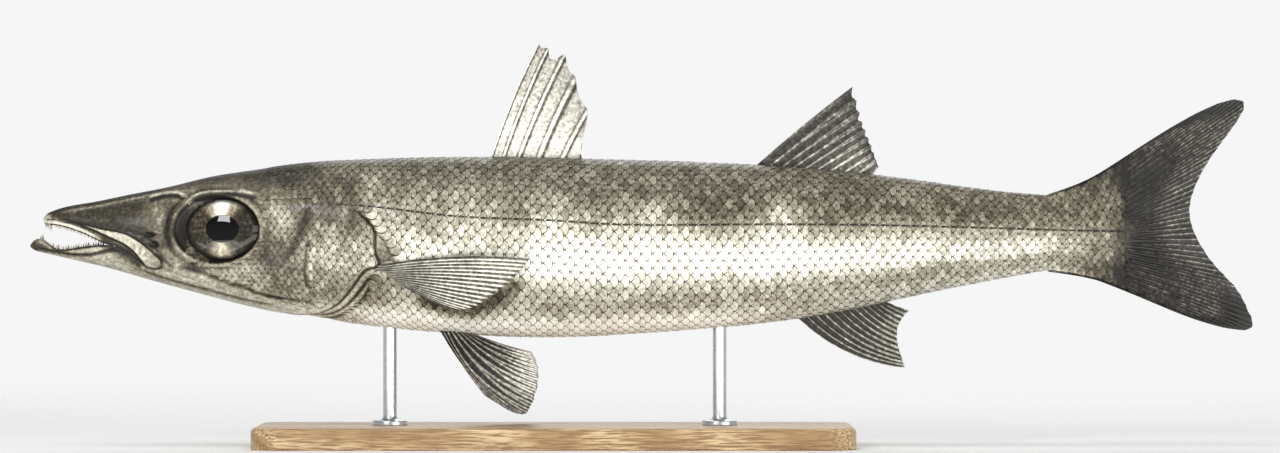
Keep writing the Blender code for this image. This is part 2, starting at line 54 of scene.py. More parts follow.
# %% Millimetres along the fish
MM = 0.001
TOTAL_LENGTH = 450.0
AXIS_HEIGHT = 79.0


def place(station, side, height):
    """Points in the frame's metres from stations, sides and heights in millimetres."""
    station, side, height = np.broadcast_arrays(station, side, height)
    return np.stack([station - TOTAL_LENGTH / 2, side, height + AXIS_HEIGHT], axis=-1) * MM


def soft(value, low, high):
    """0 below low, 1 above high, and a smooth rise between them."""
    share = np.clip((np.asarray(value, float) - low) / (high - low), 0, 1)
    return share * share * (3 - 2 * share)


def bell(*shares):
    """1 where all the shares are 0, and a smooth fall to 0 where one of them is large."""
    return np.exp(-sum(share**2 for share in shares))


def straight(points):
    """Straight runs between (place, value) points."""
    where, value = np.array(points, float).T
    return lambda at: np.interp(at, where, value)


def smooth(points):
    """A natural cubic spline through (place, value) points."""
    where, value = np.array(points, float).T
    step = np.diff(where)
    slope = np.diff(value) / step
    count = len(where)
    matrix, right = np.eye(count), np.zeros(count)
    for i in range(1, count - 1):
        matrix[i, i - 1 : i + 2] = step[i - 1], 2 * (step[i - 1] + step[i]), step[i]
        right[i] = 6 * (slope[i] - slope[i - 1])
    bend = np.linalg.solve(matrix, right)

    def value_at(at):
        at = np.asarray(at, float)
        i = np.clip(np.searchsorted(where, at) - 1, 0, count - 2)
        after, before, length = at - where[i], where[i + 1] - at, step[i]
        cubic = (bend[i] * before**3 + bend[i + 1] * after**3) / (6 * length)
        low = (value[i] / length - bend[i] * length / 6) * before
        high = (value[i + 1] / length - bend[i + 1] * length / 6) * after
        return cubic + low + high

    return value_at


# %% [markdown]
# The drawing looks straight at the fish's left side, level with its middle. A long lens from far away
# looks the same and keeps a little depth. The frame is as wide as 1280 of the drawing's pixels, at
# 0.368 mm to the pixel, and its middle is a little below the fish's axis.

# %% The camera
FRAME_WIDTH = 0.471
VIEW_MIDDLE = (-0.0006, 0.0811)
LENS, SENSOR = 200.0, 36.0

camera_data = bpy.data.cameras.new("camera")
camera_data.lens = LENS
camera_data.sensor_width = SENSOR
camera_data.clip_end = 50.0
camera = bpy.data.objects.new("camera", camera_data)
bpy.context.scene.collection.objects.link(camera)
camera.location = (VIEW_MIDDLE[0], -FRAME_WIDTH * LENS / SENSOR, VIEW_MIDDLE[1])
camera.rotation_euler = (math.radians(90), 0, 0)
bpy.context.scene.camera = camera
print("camera distance:", round(-camera.location.y, 3), "m")

# %% [markdown]
# Every finish is a node tree, and every surface a mesh built from arrays. So one function turns a hex
# colour into linear light, one adds a node, with short names for the kinds that come back often, and
# one turns arrays of points and faces into an object that rides on the frame.

# %% Helpers for colours, nodes and meshes


def hex_colour(text):
    """A linear colour from sRGB hex digits."""
    channels = [int(text[i : i + 2], 16) / 255 for i in (1, 3, 5)]
    return (*[c / 12.92 if c <= 0.04045 else ((c + 0.055) / 1.055) ** 2.4 for c in channels], 1.0)


def plug(node, inputs):
    """Sets a node's inputs, by name or number, to values or to the outputs of other nodes."""
    for socket, value in inputs.items():
        if isinstance(value, bpy.types.NodeSocket):
            node.id_data.links.new(value, node.inputs[socket])
        else:
            node.inputs[socket].default_value = value


def add_node(look, kind, inputs=None, stops=(), output=0, **settings):
    """Adds a node and returns an output. Stops are a ramp's places and its hex colours or greys."""
    made = look.node_tree.nodes.new("ShaderNode" + kind)
    for name, value in settings.items():
        setattr(made, name, value)
    plug(made, inputs or {})
    for i, (where, colour) in enumerate(stops):
        stop = made.color_ramp.elements[i] if i < 2 else made.color_ramp.elements.new(where)
        stop.position = where
        grey = not isinstance(colour, str)
        stop.color = (*np.broadcast_to(np.array(colour, float), 3), 1.0) if grey else hex_colour(colour)
    return made.outputs[output]


def trait(look, name):
    """A value that the mesh carries on its points."""
    return add_node(look, "Attribute", output="Fac", attribute_name=name)


def position(look):
    """The place on the object, in metres."""
    return add_node(look, "TexCoord", output="Object")


def noise(look, where, scale, detail, roughness=0.5, distortion=0.0):
    """Cloudy noise from 0 to 1, with features about 1 / scale metres across."""
    return add_node(look, "TexNoise", {
        "Vector": where, "Scale": scale, "Detail": detail, "Roughness": roughness,
        "Distortion": distortion})


def calc(look, operation, *values):
    """Arithmetic on numbers and outputs."""
    return add_node(look, "Math", dict(enumerate(values)), operation=operation)


def ramp(look, value, stops):
    """A colour for each value."""
    return add_node(look, "ValToRGB", {"Fac": value}, stops)


def mix(look, share, first, second):
    """The first colour where the share is 0 and the second where it is 1."""
    return add_node(look, "Mix", {0: share, 6: first, 7: second}, output=2, data_type="RGBA")


def bump(look, height, strength, distance):
    """A normal that follows a height, as if it were this many metres high."""
    return add_node(look, "Bump", {"Height": height, "Strength": strength, "Distance": distance})


def new_look(name):
    """An empty material and its shader."""
    look = bpy.data.materials.new(name)
    look.use_nodes = True
    return look, look.node_tree.nodes["Principled BSDF"]


def make_object(name, points, faces, look, traits):
    """A mesh object from arrays, with named traits on its points."""
    mesh = bpy.data.meshes.new(name)
    mesh.from_pydata(np.reshape(points, (-1, 3)), [], faces)
    for trait_name, values in traits.items():
        layer = mesh.attributes.new(trait_name, "FLOAT", "POINT")
        layer.data.foreach_set("value", np.ravel(values).astype(np.float32))
    mesh.materials.append(look)
    made = bpy.data.objects.new(name, mesh)
    bpy.context.scene.collection.objects.link(made)
    return made


def make_piece(name, points, faces, look, traits, sharp=None, join=None):
    """A smooth piece that rides on the frame. It can keep edges sharp, and join points that meet."""
    piece = make_object(name, points, faces, look, traits)
    piece.data.shade_smooth()
    if sharp is not None:
        piece.data.set_sharp_from_angle(angle=math.radians(sharp))
    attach(piece, "root")
    if join is not None:
        weld(piece, join)
    print(f"{name}: {len(piece.data.polygons)} faces")
    return piece


def weld(piece, distance):
    """Joins points that are closer than a distance in metres, and turns the faces out."""
    work = bmesh.new()
    work.from_mesh(piece.data)
    bmesh.ops.remove_doubles(work, verts=work.verts, dist=distance)
    bmesh.ops.recalc_face_normals(work, faces=work.faces)
    open_edges = sum(len(edge.link_faces) != 2 for edge in work.edges)
    work.to_mesh(piece.data)
    work.free()
    print(f"{piece.name}: {open_edges} open edges")


def grid_faces(rows, columns, start=0):
    """The quads of a grid of points, row after row."""
    first = start + np.arange(rows - 1)[:, None] * columns + np.arange(columns - 1)[None, :]
    return np.stack([first, first + 1, first + columns + 1, first + columns], axis=-1).reshape(-1, 4)


def lathe_faces(rings, count, start=0):
    """Quads round a stack of closed rings, with a face over each end."""
    first = start + np.arange(rings * count).reshape(rings, count)
    after = np.roll(first, -1, axis=1)
    quads = np.stack([first[:-1], after[:-1], after[1:], first[1:]], axis=-1).reshape(-1, 4)
    return [first[0, ::-1].tolist(), *quads.tolist(), first[-1].tolist()]


def circle(count):
    """Angles of points round a circle."""
    return np.linspace(0, 2 * math.pi, count + 1)[:-1]


# %% [markdown]
# The body is one long form. Its back, belly and widest level are curves over the station, and each
# cross-section is two superellipses that meet at the widest level. These are the outlines that the
# solids have, so that the skin lies just inside them.

# %% The body's outlines
BACK = smooth([
    (4.8, 6.4), (10.3, 8.6), (22.1, 11), (36.8, 14), (51.5, 16.9), (66.2, 20.5), (80.9, 22.9),
    (99.3, 25.5), (117.7, 26.9), (143.4, 27.8), (172.8, 28), (209.6, 27.2), (246.3, 26.1),
    (283.1, 24.1), (312.5, 21.3), (334.6, 18.4), (356.6, 15.5), (371.3, 14.2), (388, 12.6), (405, 9.6),
    (412, 7.4),
])
BELLY = smooth([
    (0, -6.4), (7.4, -8.2), (14.7, -9.9), (29.4, -13.4), (44.1, -17.6), (58.9, -21.7), (73.6, -25.7),
    (88.3, -29.2), (103, -31.8), (125, -34.7), (143.4, -36.5), (172.8, -38.6), (194.9, -38.9),
    (224.3, -37.5), (253.7, -35.3), (283.1, -32), (312.5, -26.5), (334.6, -21.8), (356.6, -17.5),
    (371.3, -14.9), (388, -12.8), (405, -9.6), (412, -7.6),
])
HALF_WIDTH = smooth([
    (4.8, 2.7), (10, 4.2), (20, 6.4), (32, 8.8), (44, 11), (56, 13.2), (66, 14.7), (78, 16.3),
    (95, 18.6), (112, 20.6), (130, 22.2), (150, 23.4), (180, 24.2), (210, 24.2), (240, 23.2), (270, 21),
    (300, 17.8), (325, 14.4), (345, 11.3), (360, 9), (375, 6.7), (388, 4.4), (396, 2.6), (402, 1.3),
    (407, 0.5), (412, 0.1),
])
JAW_HALF_WIDTH = smooth([
    (0, 3.2), (4, 3.9), (10, 5), (20, 6.7), (32, 8.5), (44, 10.4), (56, 12), (62, 12.3), (72, 11.2),
])
UPPER_LIP = smooth([
    (4.8, 3), (7, 2.7), (9.6, 2.5), (13.8, 1.6), (17.5, 0.4), (20.9, -0.9), (25, -2.9), (27.5, -4.1),
    (32.4, -5.3), (39.1, -8.6),
])
LOWER_LIP = smooth([
    (0, -3.9), (2.6, -2.5), (4.8, -2.6), (8, -5), (15.1, -6), (22.6, -4.9), (27.5, -4.6), (31.5, -4.9),
])
WIDEST = smooth([
    (4.8, 3.6), (15.1, 2), (21, -0.6), (25.6, -2.7), (32.4, -5.2), (39.1, -8.6), (48.9, -12.6),
    (60, -13.2), (72, -10.5), (88, -6.5), (110, -3.5), (172, -4), (240, -5), (300, -3.2), (350, -1),
    (412, 0),
])
SQUARE_ABOVE = straight([(4.8, 2.3), (30, 2.6), (60, 2.9), (80, 3), (100, 2.6), (130, 2.2), (172, 2)])
SQUARE_BELOW = straight([(0, 2.6), (60, 2.3), (90, 2.1), (172, 2)])
SNOUT, CHIN = (4.8, 2.6), (0.0, 2.8)
GAPE_CORNER = 31.5
SKIN_END = 412.0

# %% [markdown]
# Each half section is a line of points from the back down the left side to the belly. Ahead of the
# corner of the mouth it is two lines, one for each jaw, whose lips turn in on a small radius. Behind
# the corner the closed mouth goes on as a fold where the cheek hangs over the lower jaw.

# %% Half sections
LIP_RADIUS = straight([(0, 0.7), (28, 0.6), (31.5, 0.4), (50, 0.45), (66, 0.35), (76, 0)])
FOLD = smooth([
    (31.5, -4.9), (35, -6.6), (39.1, -9), (42, -11.6), (44.6, -13), (48.9, -13.4), (54, -15),
    (60, -17.2), (72, -21.7),
])
FOLD_END = 72.0
TAIL_SPLIT = 0.70
SECTION_POINTS = 90
PALATE_RISE = straight([(4.8, 0.6), (14, 2.2), (26, 3.0), (32, 2.0)])
MOUTH_FLOOR = straight([(0, -0.6), (12, -2.2), (26, -2.6), (32, -1.5)])
UPPER_JAW = (SNOUT, UPPER_LIP, BACK, HALF_WIDTH, SQUARE_ABOVE, PALATE_RISE)
LOWER_JAW = (CHIN, LOWER_LIP, BELLY, JAW_HALF_WIDTH, SQUARE_BELOW, MOUTH_FLOOR)
LINING_POINTS, TURN_POINTS, SMALLEST_RADIUS = 30, 9, 0.01


def quarter(square):
    """(across, up) of a quarter of a superellipse, from its top to its side."""
    angle = np.linspace(math.pi / 2, 0, SECTION_POINTS)
    return np.clip(np.cos(angle), 0, 1) ** (2 / square), np.clip(np.sin(angle), 0, 1) ** (2 / square)


def run(across, up):
    """The length along a line up to each of its points."""
    return np.concatenate([[0], np.cumsum(np.hypot(np.diff(across), np.diff(up)))])


def spread(line, shares):
    """Points of a line at these shares of its length."""
    length = run(*line)
    return np.array([np.interp(shares * length[-1], length, axis) for axis in line])


def body_line(station):
    """The whole half section from the back to the belly."""
    top, bottom, level = BACK(station), BELLY(station), WIDEST(station)
    over, under = quarter(SQUARE_ABOVE(station)), quarter(SQUARE_BELOW(station))
    across = np.concatenate([over[0], under[0][-2::-1]])
    across += (across**3 - across) * float(soft(station, 368, 392))
    up = np.concatenate([level + over[1] * (top - level), level - under[1][-2::-1] * (level - bottom)])
    return np.array([across * HALF_WIDTH(station), up])


def side_at(station, height):
    """How far out the body's side is, at a station and a height."""
    top, bottom, level = BACK(station), BELLY(station), WIDEST(station)
    above = height >= level
    share = np.where(above, (height - level) / (top - level), (level - height) / (level - bottom))
    square = np.where(above, SQUARE_ABOVE(station), SQUARE_BELOW(station))
    return HALF_WIDTH(station) * (1 - np.clip(share, 0, 1) ** square) ** (1 / square)


def rounded(station, tip, radius):
    """The share of its full size that a jaw has near its blunt, round tip."""
    depth = min(max((station - tip) / radius, 0.0), 1.0)
    return math.sqrt(1 - (1 - depth) ** 2)


def turned_in(line, radius, level, inner=None):
    """A line whose last stretch turns in on a radius, to end at a level and at an inner side."""
    length = run(*line)
    kept = np.minimum(length, length[-1] - radius)
    across, up = [np.interp(kept, length, axis) for axis in line]
    inner = across[-1] - radius if inner is None else inner
    turn = np.linspace(0, math.pi / 2, TURN_POINTS)[1:]
    across = np.concatenate([across, across[-1] - (across[-1] - inner) * (1 - np.cos(turn))])
    return np.array([across, np.concatenate([up, up[-1] + (level - up[-1]) * np.sin(turn)])])


def jaw_lines(station, tip, lip_height, edge, half_width, square, hollow):
    """A jaw's line from its ridge out to the lip, and its lining from the lip in to the middle."""
    size = rounded(station, *tip)
    middle = (lip_height(station) + edge(station)) / 2
    lip = middle + (lip_height(station) - middle) * size
    ridge = middle + (edge(station) - middle) * size
    across, up = quarter(square(station))
    outer = np.array([across * half_width(station) * size, lip + up * (ridge - lip)])
    outer = turned_in(outer, float(LIP_RADIUS(station)) * size, lip)
    inner = np.linspace(1, 0, LINING_POINTS)
    depth = hollow(station) * size * (1 - soft(station, GAPE_CORNER - 6, GAPE_CORNER))
    return outer, np.array([inner * outer[0, -1], lip + depth * (1 - inner**2) ** 1.5])


def fold_place(station):
    """The body's line, its running length, and how far down it the fold at the jaw lies."""
    line = body_line(station)
    length = run(*line)
    return line, length, np.interp(-FOLD(min(station, FOLD_END)), -line[1], length)


def closed_lines(station):
    """The lines above and below the fold behind the mouth's corner."""
    line, length, cut = fold_place(station)
    if station >= FOLD_END:
        shift = float(soft(station, FOLD_END, 150))
        cut = (fold_share_end + (TAIL_SPLIT - fold_share_end) * shift) * length[-1]
    level = np.interp(cut, length, line[1])
    upper = spread(line, np.linspace(0, cut / length[-1], 2 * SECTION_POINTS))
    lower = spread(line, np.linspace(cut / length[-1], 1, SECTION_POINTS))
    if station < FOLD_END:
        across, up = quarter(SQUARE_BELOW(station))
        jaw = np.array([across * JAW_HALF_WIDTH(station), level - up * (level - line[1, -1])])
        jaw = spread(jaw[:, ::-1], np.linspace(0, 1, SECTION_POINTS))
        lower = jaw + (lower - jaw) * float(soft(station, 56, FOLD_END))
    radius = float(LIP_RADIUS(station))
    if radius > SMALLEST_RADIUS:
        inner = min(upper[0, -1], lower[0, 0]) - radius
        upper = turned_in(upper, radius, level, inner)
        lower = turned_in(lower[:, ::-1], radius, level, inner)[:, ::-1]
    return upper, lower


_, fold_length, fold_cut = fold_place(FOLD_END)
fold_share_end = fold_cut / fold_length[-1]
print("share of the section above the fold where it ends:", round(float(fold_share_end), 2))

# %% [markdown]
# The head of a barracuda is full of bony edges: the long upper jaw bone lying over the lower jaw, the
# rim round the eye, the brow, the two plates of the gill cover and the thin rays folded under it. Each
# is a line over the side of the head, and the skin rises or sinks near it. A plate's edge is a sharp
# step that fades on both sides, and a fold is a narrow groove, so light catches them as on real bone.

# %% Lines on the head
BLADE = [
    (8, 5.4), (14.2, 4.4), (17.9, 3.6), (23.4, 2.2), (29.2, 0.9), (35.4, -0.3), (39.6, -2.4),
    (43.8, -5.4), (47.1, -8.4), (49.3, -11.2), (48.8, -12.9), (46, -13.3), (44, -12.9), (42.1, -11.2),
    (39.6, -8.1), (36.7, -5.5), (33.4, -3.6), (29.2, -1.8), (25, 0.1), (20, 2.2), (14.2, 3.7), (8, 4.7),
]
# The line of painted shadow under the upper jaw bone, on the lower jaw.
SHADOW_UNDER_JAW_BONE = [(25.5, -1.6), (28.5, -3.4), (32, -5.6), (36, -8), (39.5, -10.5), (42.5, -13.2)]
GILL_COVER = [
    (118.5, 10.2), (120.8, 7.9), (123.6, 5.2), (126.4, 2.3), (127.7, -1.4), (127.9, -8), (129.1, -12),
    (125.6, -13.4), (121.6, -17), (117, -23.2), (112.3, -27.4), (106, -29.8), (98, -30),
]
RAY_FOLDS = [
    [(127.6, -14.6), (122.6, -20.8), (117.6, -26.6), (112.2, -29.9), (103, -31), (92, -29.6)],
    [(126.4, -18.6), (123.4, -24.4), (118.1, -29.3), (112.6, -31.9), (106, -32.4)],
]
SHOULDER = [(122.6, 8.2), (125.2, 4.6), (128.7, -0.6), (131.7, -4), (133.6, -7.9), (136.5, -10.8)]
CHEEK_EDGE = [(103.6, -2), (102.6, -8), (102, -14), (102.6, -18.6), (104.4, -21.4)]
CHEEK_MUSCLE = [(103.6, 10), (102.6, 5.6), (100.6, 0.6), (97.4, -6), (94, -11.4)]
PLATE_UNDER = [(106, -26.6), (101, -25.4), (94, -24.6), (87, -23.2), (80, -20.8)]
BROW = [(57.6, 10.4), (60, 12.8), (64, 14.4), (70.5, 15.1), (79, 14.8), (86, 13.6)]
BROW_FRONT = [(43, 12.4), (49, 14.2), (54.5, 14.6), (58.6, 13.2)]
JAW_FOLD = [(2.4, -5.6), (8.3, -7.1), (13.8, -8.1), (18.8, -8.5), (25, -7.9), (29.2, -6.7), (33.5, -6.6)]
JAW_EDGE = [(40, -13.6), (52, -17.6), (64.1, -20.8), (76, -24.2), (92, -27.4)]
SNOUT_FOLD = [(36, 0.6), (41, -0.6), (44.6, -3), (47.4, -6.6), (50.2, -10.4), (54, -13.6)]
CHEEK_FOLD = [(55, -12.4), (60, -13.6), (66, -15.4), (74, -18.6), (84, -21.4)]
NOSTRILS = [(44.6, -0.9, 1.8, 0.75), (46.3, -4.5, 1.25, 1.05)]
ORBIT = (69.3, 1.1, 16, 12.6)
EYE = (71.6, 1.1, 13.6, 11.0)


def rounded_path(points, closed=False, pieces=6):
    """A path through (station, height) points with its corners eased."""
    points = np.array(points + points[:1] if closed else points, float)
    length = run(*points.T)
    at = np.linspace(0, length[-1], pieces * len(points))
    return np.array([smooth(list(zip(length, axis)))(at) for axis in points.T])


def path_distance(station, height, path):
    """The distance to a path, its sign (positive to the left of its run) and the share along it."""
    near = np.full(station.shape, 1e9)
    sign, share = np.ones(station.shape), np.zeros(station.shape)
    count = path.shape[1] - 1
    for i in range(count):
        start, way = path[:, i], path[:, i + 1] - path[:, i]
        along = ((station - start[0]) * way[0] + (height - start[1]) * way[1]) / (way @ way)
        along = np.clip(along, 0, 1)
        off_x, off_y = station - start[0] - along * way[0], height - start[1] - along * way[1]
        distance = np.hypot(off_x, off_y)
        closer = distance < near
        near = np.where(closer, distance, near)
        sign = np.where(closer, np.sign(way[0] * off_y - way[1] * off_x), sign)
        share = np.where(closer, (i + along) / count, share)
    return near, sign, share


def near_line(station, height, points, closed=False):
    """The same for a line over the head, once its corners are eased."""
    return path_distance(station, height, rounded_path(points, closed))


def fading(share, ends=0.12):
    """1 in the middle of a path and 0 at its two ends."""
    return soft(share, 0, ends) * (1 - soft(share, 1 - ends, 1))


def groove(station, height, points, depth, wide, ends=0.12):
    """A narrow line that fades at both ends."""
    distance, _, share = near_line(station, height, points)
    return depth * bell(distance / wide) * fading(share, ends)


def plate_edge(station, height, points, rise, fade):
    """A step down from the left of a path to its right, that fades on both sides."""
    distance, sign, share = near_line(station, height, points)
    return rise * np.tanh(sign * distance / 0.22) * np.exp(-distance / fade) * fading(share, 0.08)


def orbit_radius(station, height, middle, level, half_length, half_height):
    """1 on an ellipse's outline, less inside it and more outside."""
    return np.hypot((station - middle) / half_length, (height - level) / half_height)


# %% [markdown]
# The relief adds all of these up. The same lines also give a crease shade value: painted shade where
# shadow falls in the folds, grooves, nostrils, lips and the recess round the eye, and the skin's colour
# darkens by it.

# %% Relief of the head
PLATE_STEPS = [
    (GILL_COVER, -0.75, 4.0), (RAY_FOLDS[0], -0.45, 2.2), (RAY_FOLDS[1], -0.35, 2.2),
    (SHOULDER, -0.35, 3.0), (CHEEK_EDGE, -0.45, 3.0),
]
# Lines of painted shade along the plates' edges and in the folds.
DARK_LINES = [
    (GILL_COVER, 1.0, 0.45), (RAY_FOLDS[0], 1.0, 0.55), (RAY_FOLDS[1], 1.0, 0.55),
    (SHOULDER, 0.6, 0.35), (CHEEK_EDGE, 1.0, 0.60), (CHEEK_MUSCLE, 0.35, 1.40), (PLATE_UNDER, 0.4, 0.60),
]
FOLDS = [
    (JAW_FOLD, 0.50, 0.65), (JAW_EDGE, 0.30, 0.50), (SNOUT_FOLD, 0.22, 0.60), (CHEEK_FOLD, 0.35, 0.80),
    (CHEEK_MUSCLE, 0.20, 1.60), (PLATE_UNDER, 0.25, 0.60),
]
HEAD_END = 142.0


def relief(station, height):
    """How far the skin rises above the plain body, and its painted crease shade, at each place."""
    station, height = np.broadcast_arrays(np.asarray(station, float), np.asarray(height, float))
    rise, crease_shade = np.zeros(station.shape), np.zeros(station.shape)
    head = (station < HEAD_END) & (station > 0)
    s, h = station[head], height[head]

    distance, sign, _ = near_line(s, h, BLADE, closed=True)
    up = 0.55 * soft(-sign * distance, -0.25, 0.55) * soft(s, 8, 20)
    dark = 0.8 * bell(distance / 0.35) * soft(s, 9, 16)
    for points, step, fade in PLATE_STEPS:
        up += plate_edge(s, h, points, step, fade)
    for points, depth, wide in DARK_LINES:
        dark += groove(s, h, points, depth, wide)
    for points, depth, wide in FOLDS:
        fold = groove(s, h, points, depth, wide)
        up -= fold
        dark += 1.8 * fold * (wide < 1)
    for points, rise_by in ((BROW, 0.60), (BROW_FRONT, 0.35)):
        distance, sign, share = near_line(s, h, points)
        up += rise_by * bell(distance / 0.7) * fading(share, 0.2)
        # Painted shadow under the brow ridge.
        dark += bell((distance - 1.3) / 0.6) * (sign < 0) * fading(share, 0.2)

    above_mouth = h - UPPER_LIP(np.clip(s, 5, 31))
    under_mouth = LOWER_LIP(np.clip(s, 0, 31)) - h
    front = soft(s, 5, 7) * (1 - soft(s, 22, 27))
    up += 0.30 * soft(above_mouth, 0.2, 0.7) * (1 - soft(above_mouth, 1.2, 1.9)) * front
    dark += 0.8 * bell((above_mouth - 2.0) / 0.25) * front
    gums = (1 - soft(above_mouth, 0.30, 0.65)) * (above_mouth > -0.3) * soft(s, 5, 7)
    lower_gums = (1 - soft(under_mouth, 0.25, 0.55)) * (under_mouth > -0.3) * (above_mouth < -0.3)
    dark += (gums + lower_gums * soft(s, 4, 6)) * (1 - soft(s, 28, 31))

    orbit, eye = orbit_radius(s, h, *ORBIT), orbit_radius(s, h, *EYE)
    up += 0.55 * bell((orbit - 1.045) / 0.045) - 0.35 * bell((orbit - 1.20) / 0.07)
    up -= 1.3 * (1 - soft(orbit, 0.90, 1.01)) + 0.9 * (1 - soft(orbit, 0.70, 0.93))
    up -= 2.0 * (1 - soft(eye, 0.86, 1.0))
    dark += 1.0 * (1 - soft(orbit, 0.96, 1.02)) + 0.35 * bell((orbit - 1.18) / 0.06)
    for nostril in NOSTRILS:
        hole = orbit_radius(s, h, *nostril)
        up += 0.25 * bell((hole - 1.4) / 0.4) - 0.9 * bell(hole)
        dark += 2.2 * bell(hole)

    # The crease shade is painted shade in the folds, pits and recesses.
    rise[head], crease_shade[head] = up, np.clip(dark, 0, 1)
    return rise, crease_shade


# %% [markdown]
# The markings are functions of place too, so skin and scales share them. A barracuda is dark above
# and white below, with a bright silver band under the lateral line and dusky blotches that reach down
# to it. Painted shade is added where shadow falls: by the pectoral fin, under the upper jaw bone, in
# front of the eye and in the folds, with painted highlights on a few ridges and a little painted light on
# the back's top edge. Darkness 0 is white belly, 0.2 bright silver, and 1 the darkest back.

# %% Markings
LATERAL_LINE = smooth([
    (60, 8.5), (100, 10.5), (120.7, 10), (138.3, 8.1), (157.1, 5.9), (191, 4.45), (209.7, 3.2),
    (250, 2.8), (312.8, 2.6), (393.7, 0.4), (412, 0),
])
# Dusky blotches, and near the pectoral fin painted shade where its shadow falls.
BLOTCHES_AND_FIN_SHADE = [
    (122, 9, 7, 0.20), (158, 14, 14, -0.12), (190, 13, 9, -0.12), (252, 7, 8.5, 0.14),
    (299, 7, 13, 0.08), (345, 8, 9, 0.08), (229, 9, 6, -0.16), (276, 9, 6, -0.18), (133, 4, 6, 0.18),
    (131, -8, 7, 0.28), (178, 6, 8, 0.10), (163, -3, 20, 0.10), (147, 4, 8, 0.24), (113, -31, 10, 0.34),
    (127, -19, 6, 0.20), (116, 17, 5, 0.16), (127, 18, 6, -0.14),
]
# Tone patches of the head. Some are painted shade: the crescent in front of the eye, the corner of the
# mouth and under the end of the upper jaw bone.
HEAD_TONES_AND_SHADE = [
    (95, 4, 9, 14, 0.12), (111, 10, 6, 5, 0.20), (121, 3, 4, 5, 0.14), (48, 6, 3, 4, -0.08),
    (110, -4, 6, 9, -0.06), (117, 2, 6, 10, 0.12), (103, 11, 8, 6, 0.10), (112, -22, 10, 7, 0.10),
    (88, -6, 8, 8, 0.14), (98, -14, 9, 6, 0.06), (106, 3, 6, 6, 0.10), (61.5, -12, 3.2, 1.9, 0.32),
    (46, -12, 7, 6, 0.12), (51.8, 2, 2, 6.5, 0.30), (55, 9, 5, 3, 0.14), (84, 14, 6, 4, 0.13),
    (94, 4, 4, 4, -0.16), (88.5, -11, 4, 3.5, 0.22), (94, -21, 5, 4, 0.15), (37, -6.5, 4, 3, 0.20),
    (4, -5.2, 3, 2.4, 0.22), (110, 12, 4, 5, 0.10), (50, -7, 5, 4, 0.10),
]
# Painted highlights along the brow and beside the cheek's edge, painted shade along the cheek muscle.
RIDGE_LIGHT_AND_SHADE = [
    (BROW, -0.30, 0.6), (BROW_FRONT, -0.30, 0.6), (CHEEK_MUSCLE, 0.16, 1.8),
    ([(105.6, -2), (104.6, -8), (104.2, -14), (105, -18.6)], -0.16, 0.8),
]
# The line of painted shadow that the pectoral fin casts on the body below its trailing edge.
PECTORAL_CAST_SHADOW = [(142, -22), (150, -27), (158, -30), (167, -27.5), (174, -22.5), (182, -16)]
FIN_BASE = 371.0
FIN_BASE_TOP = straight([
    (371, 14.2), (374.6, 13.9), (381.5, 16), (388.5, 18.9), (395.5, 22.9), (402.5, 27.3), (412, 33.3)])
FIN_BASE_UNDER = straight([
    (371, -14.9), (374.8, -14.4), (384, -15.8), (393.5, -17.7), (402, -21), (412, -25.1)])


def top_edge(station):
    """The back's outline, and the tail fin's where the flesh spreads over its base."""
    back = BACK(station)
    return np.where(station > FIN_BASE, np.maximum(back, FIN_BASE_TOP(station)), back)


def under_edge(station):
    """The belly's outline, and the tail fin's where the flesh spreads over its base."""
    belly = BELLY(station)
    return np.where(station > FIN_BASE, np.minimum(belly, FIN_BASE_UNDER(station)), belly)


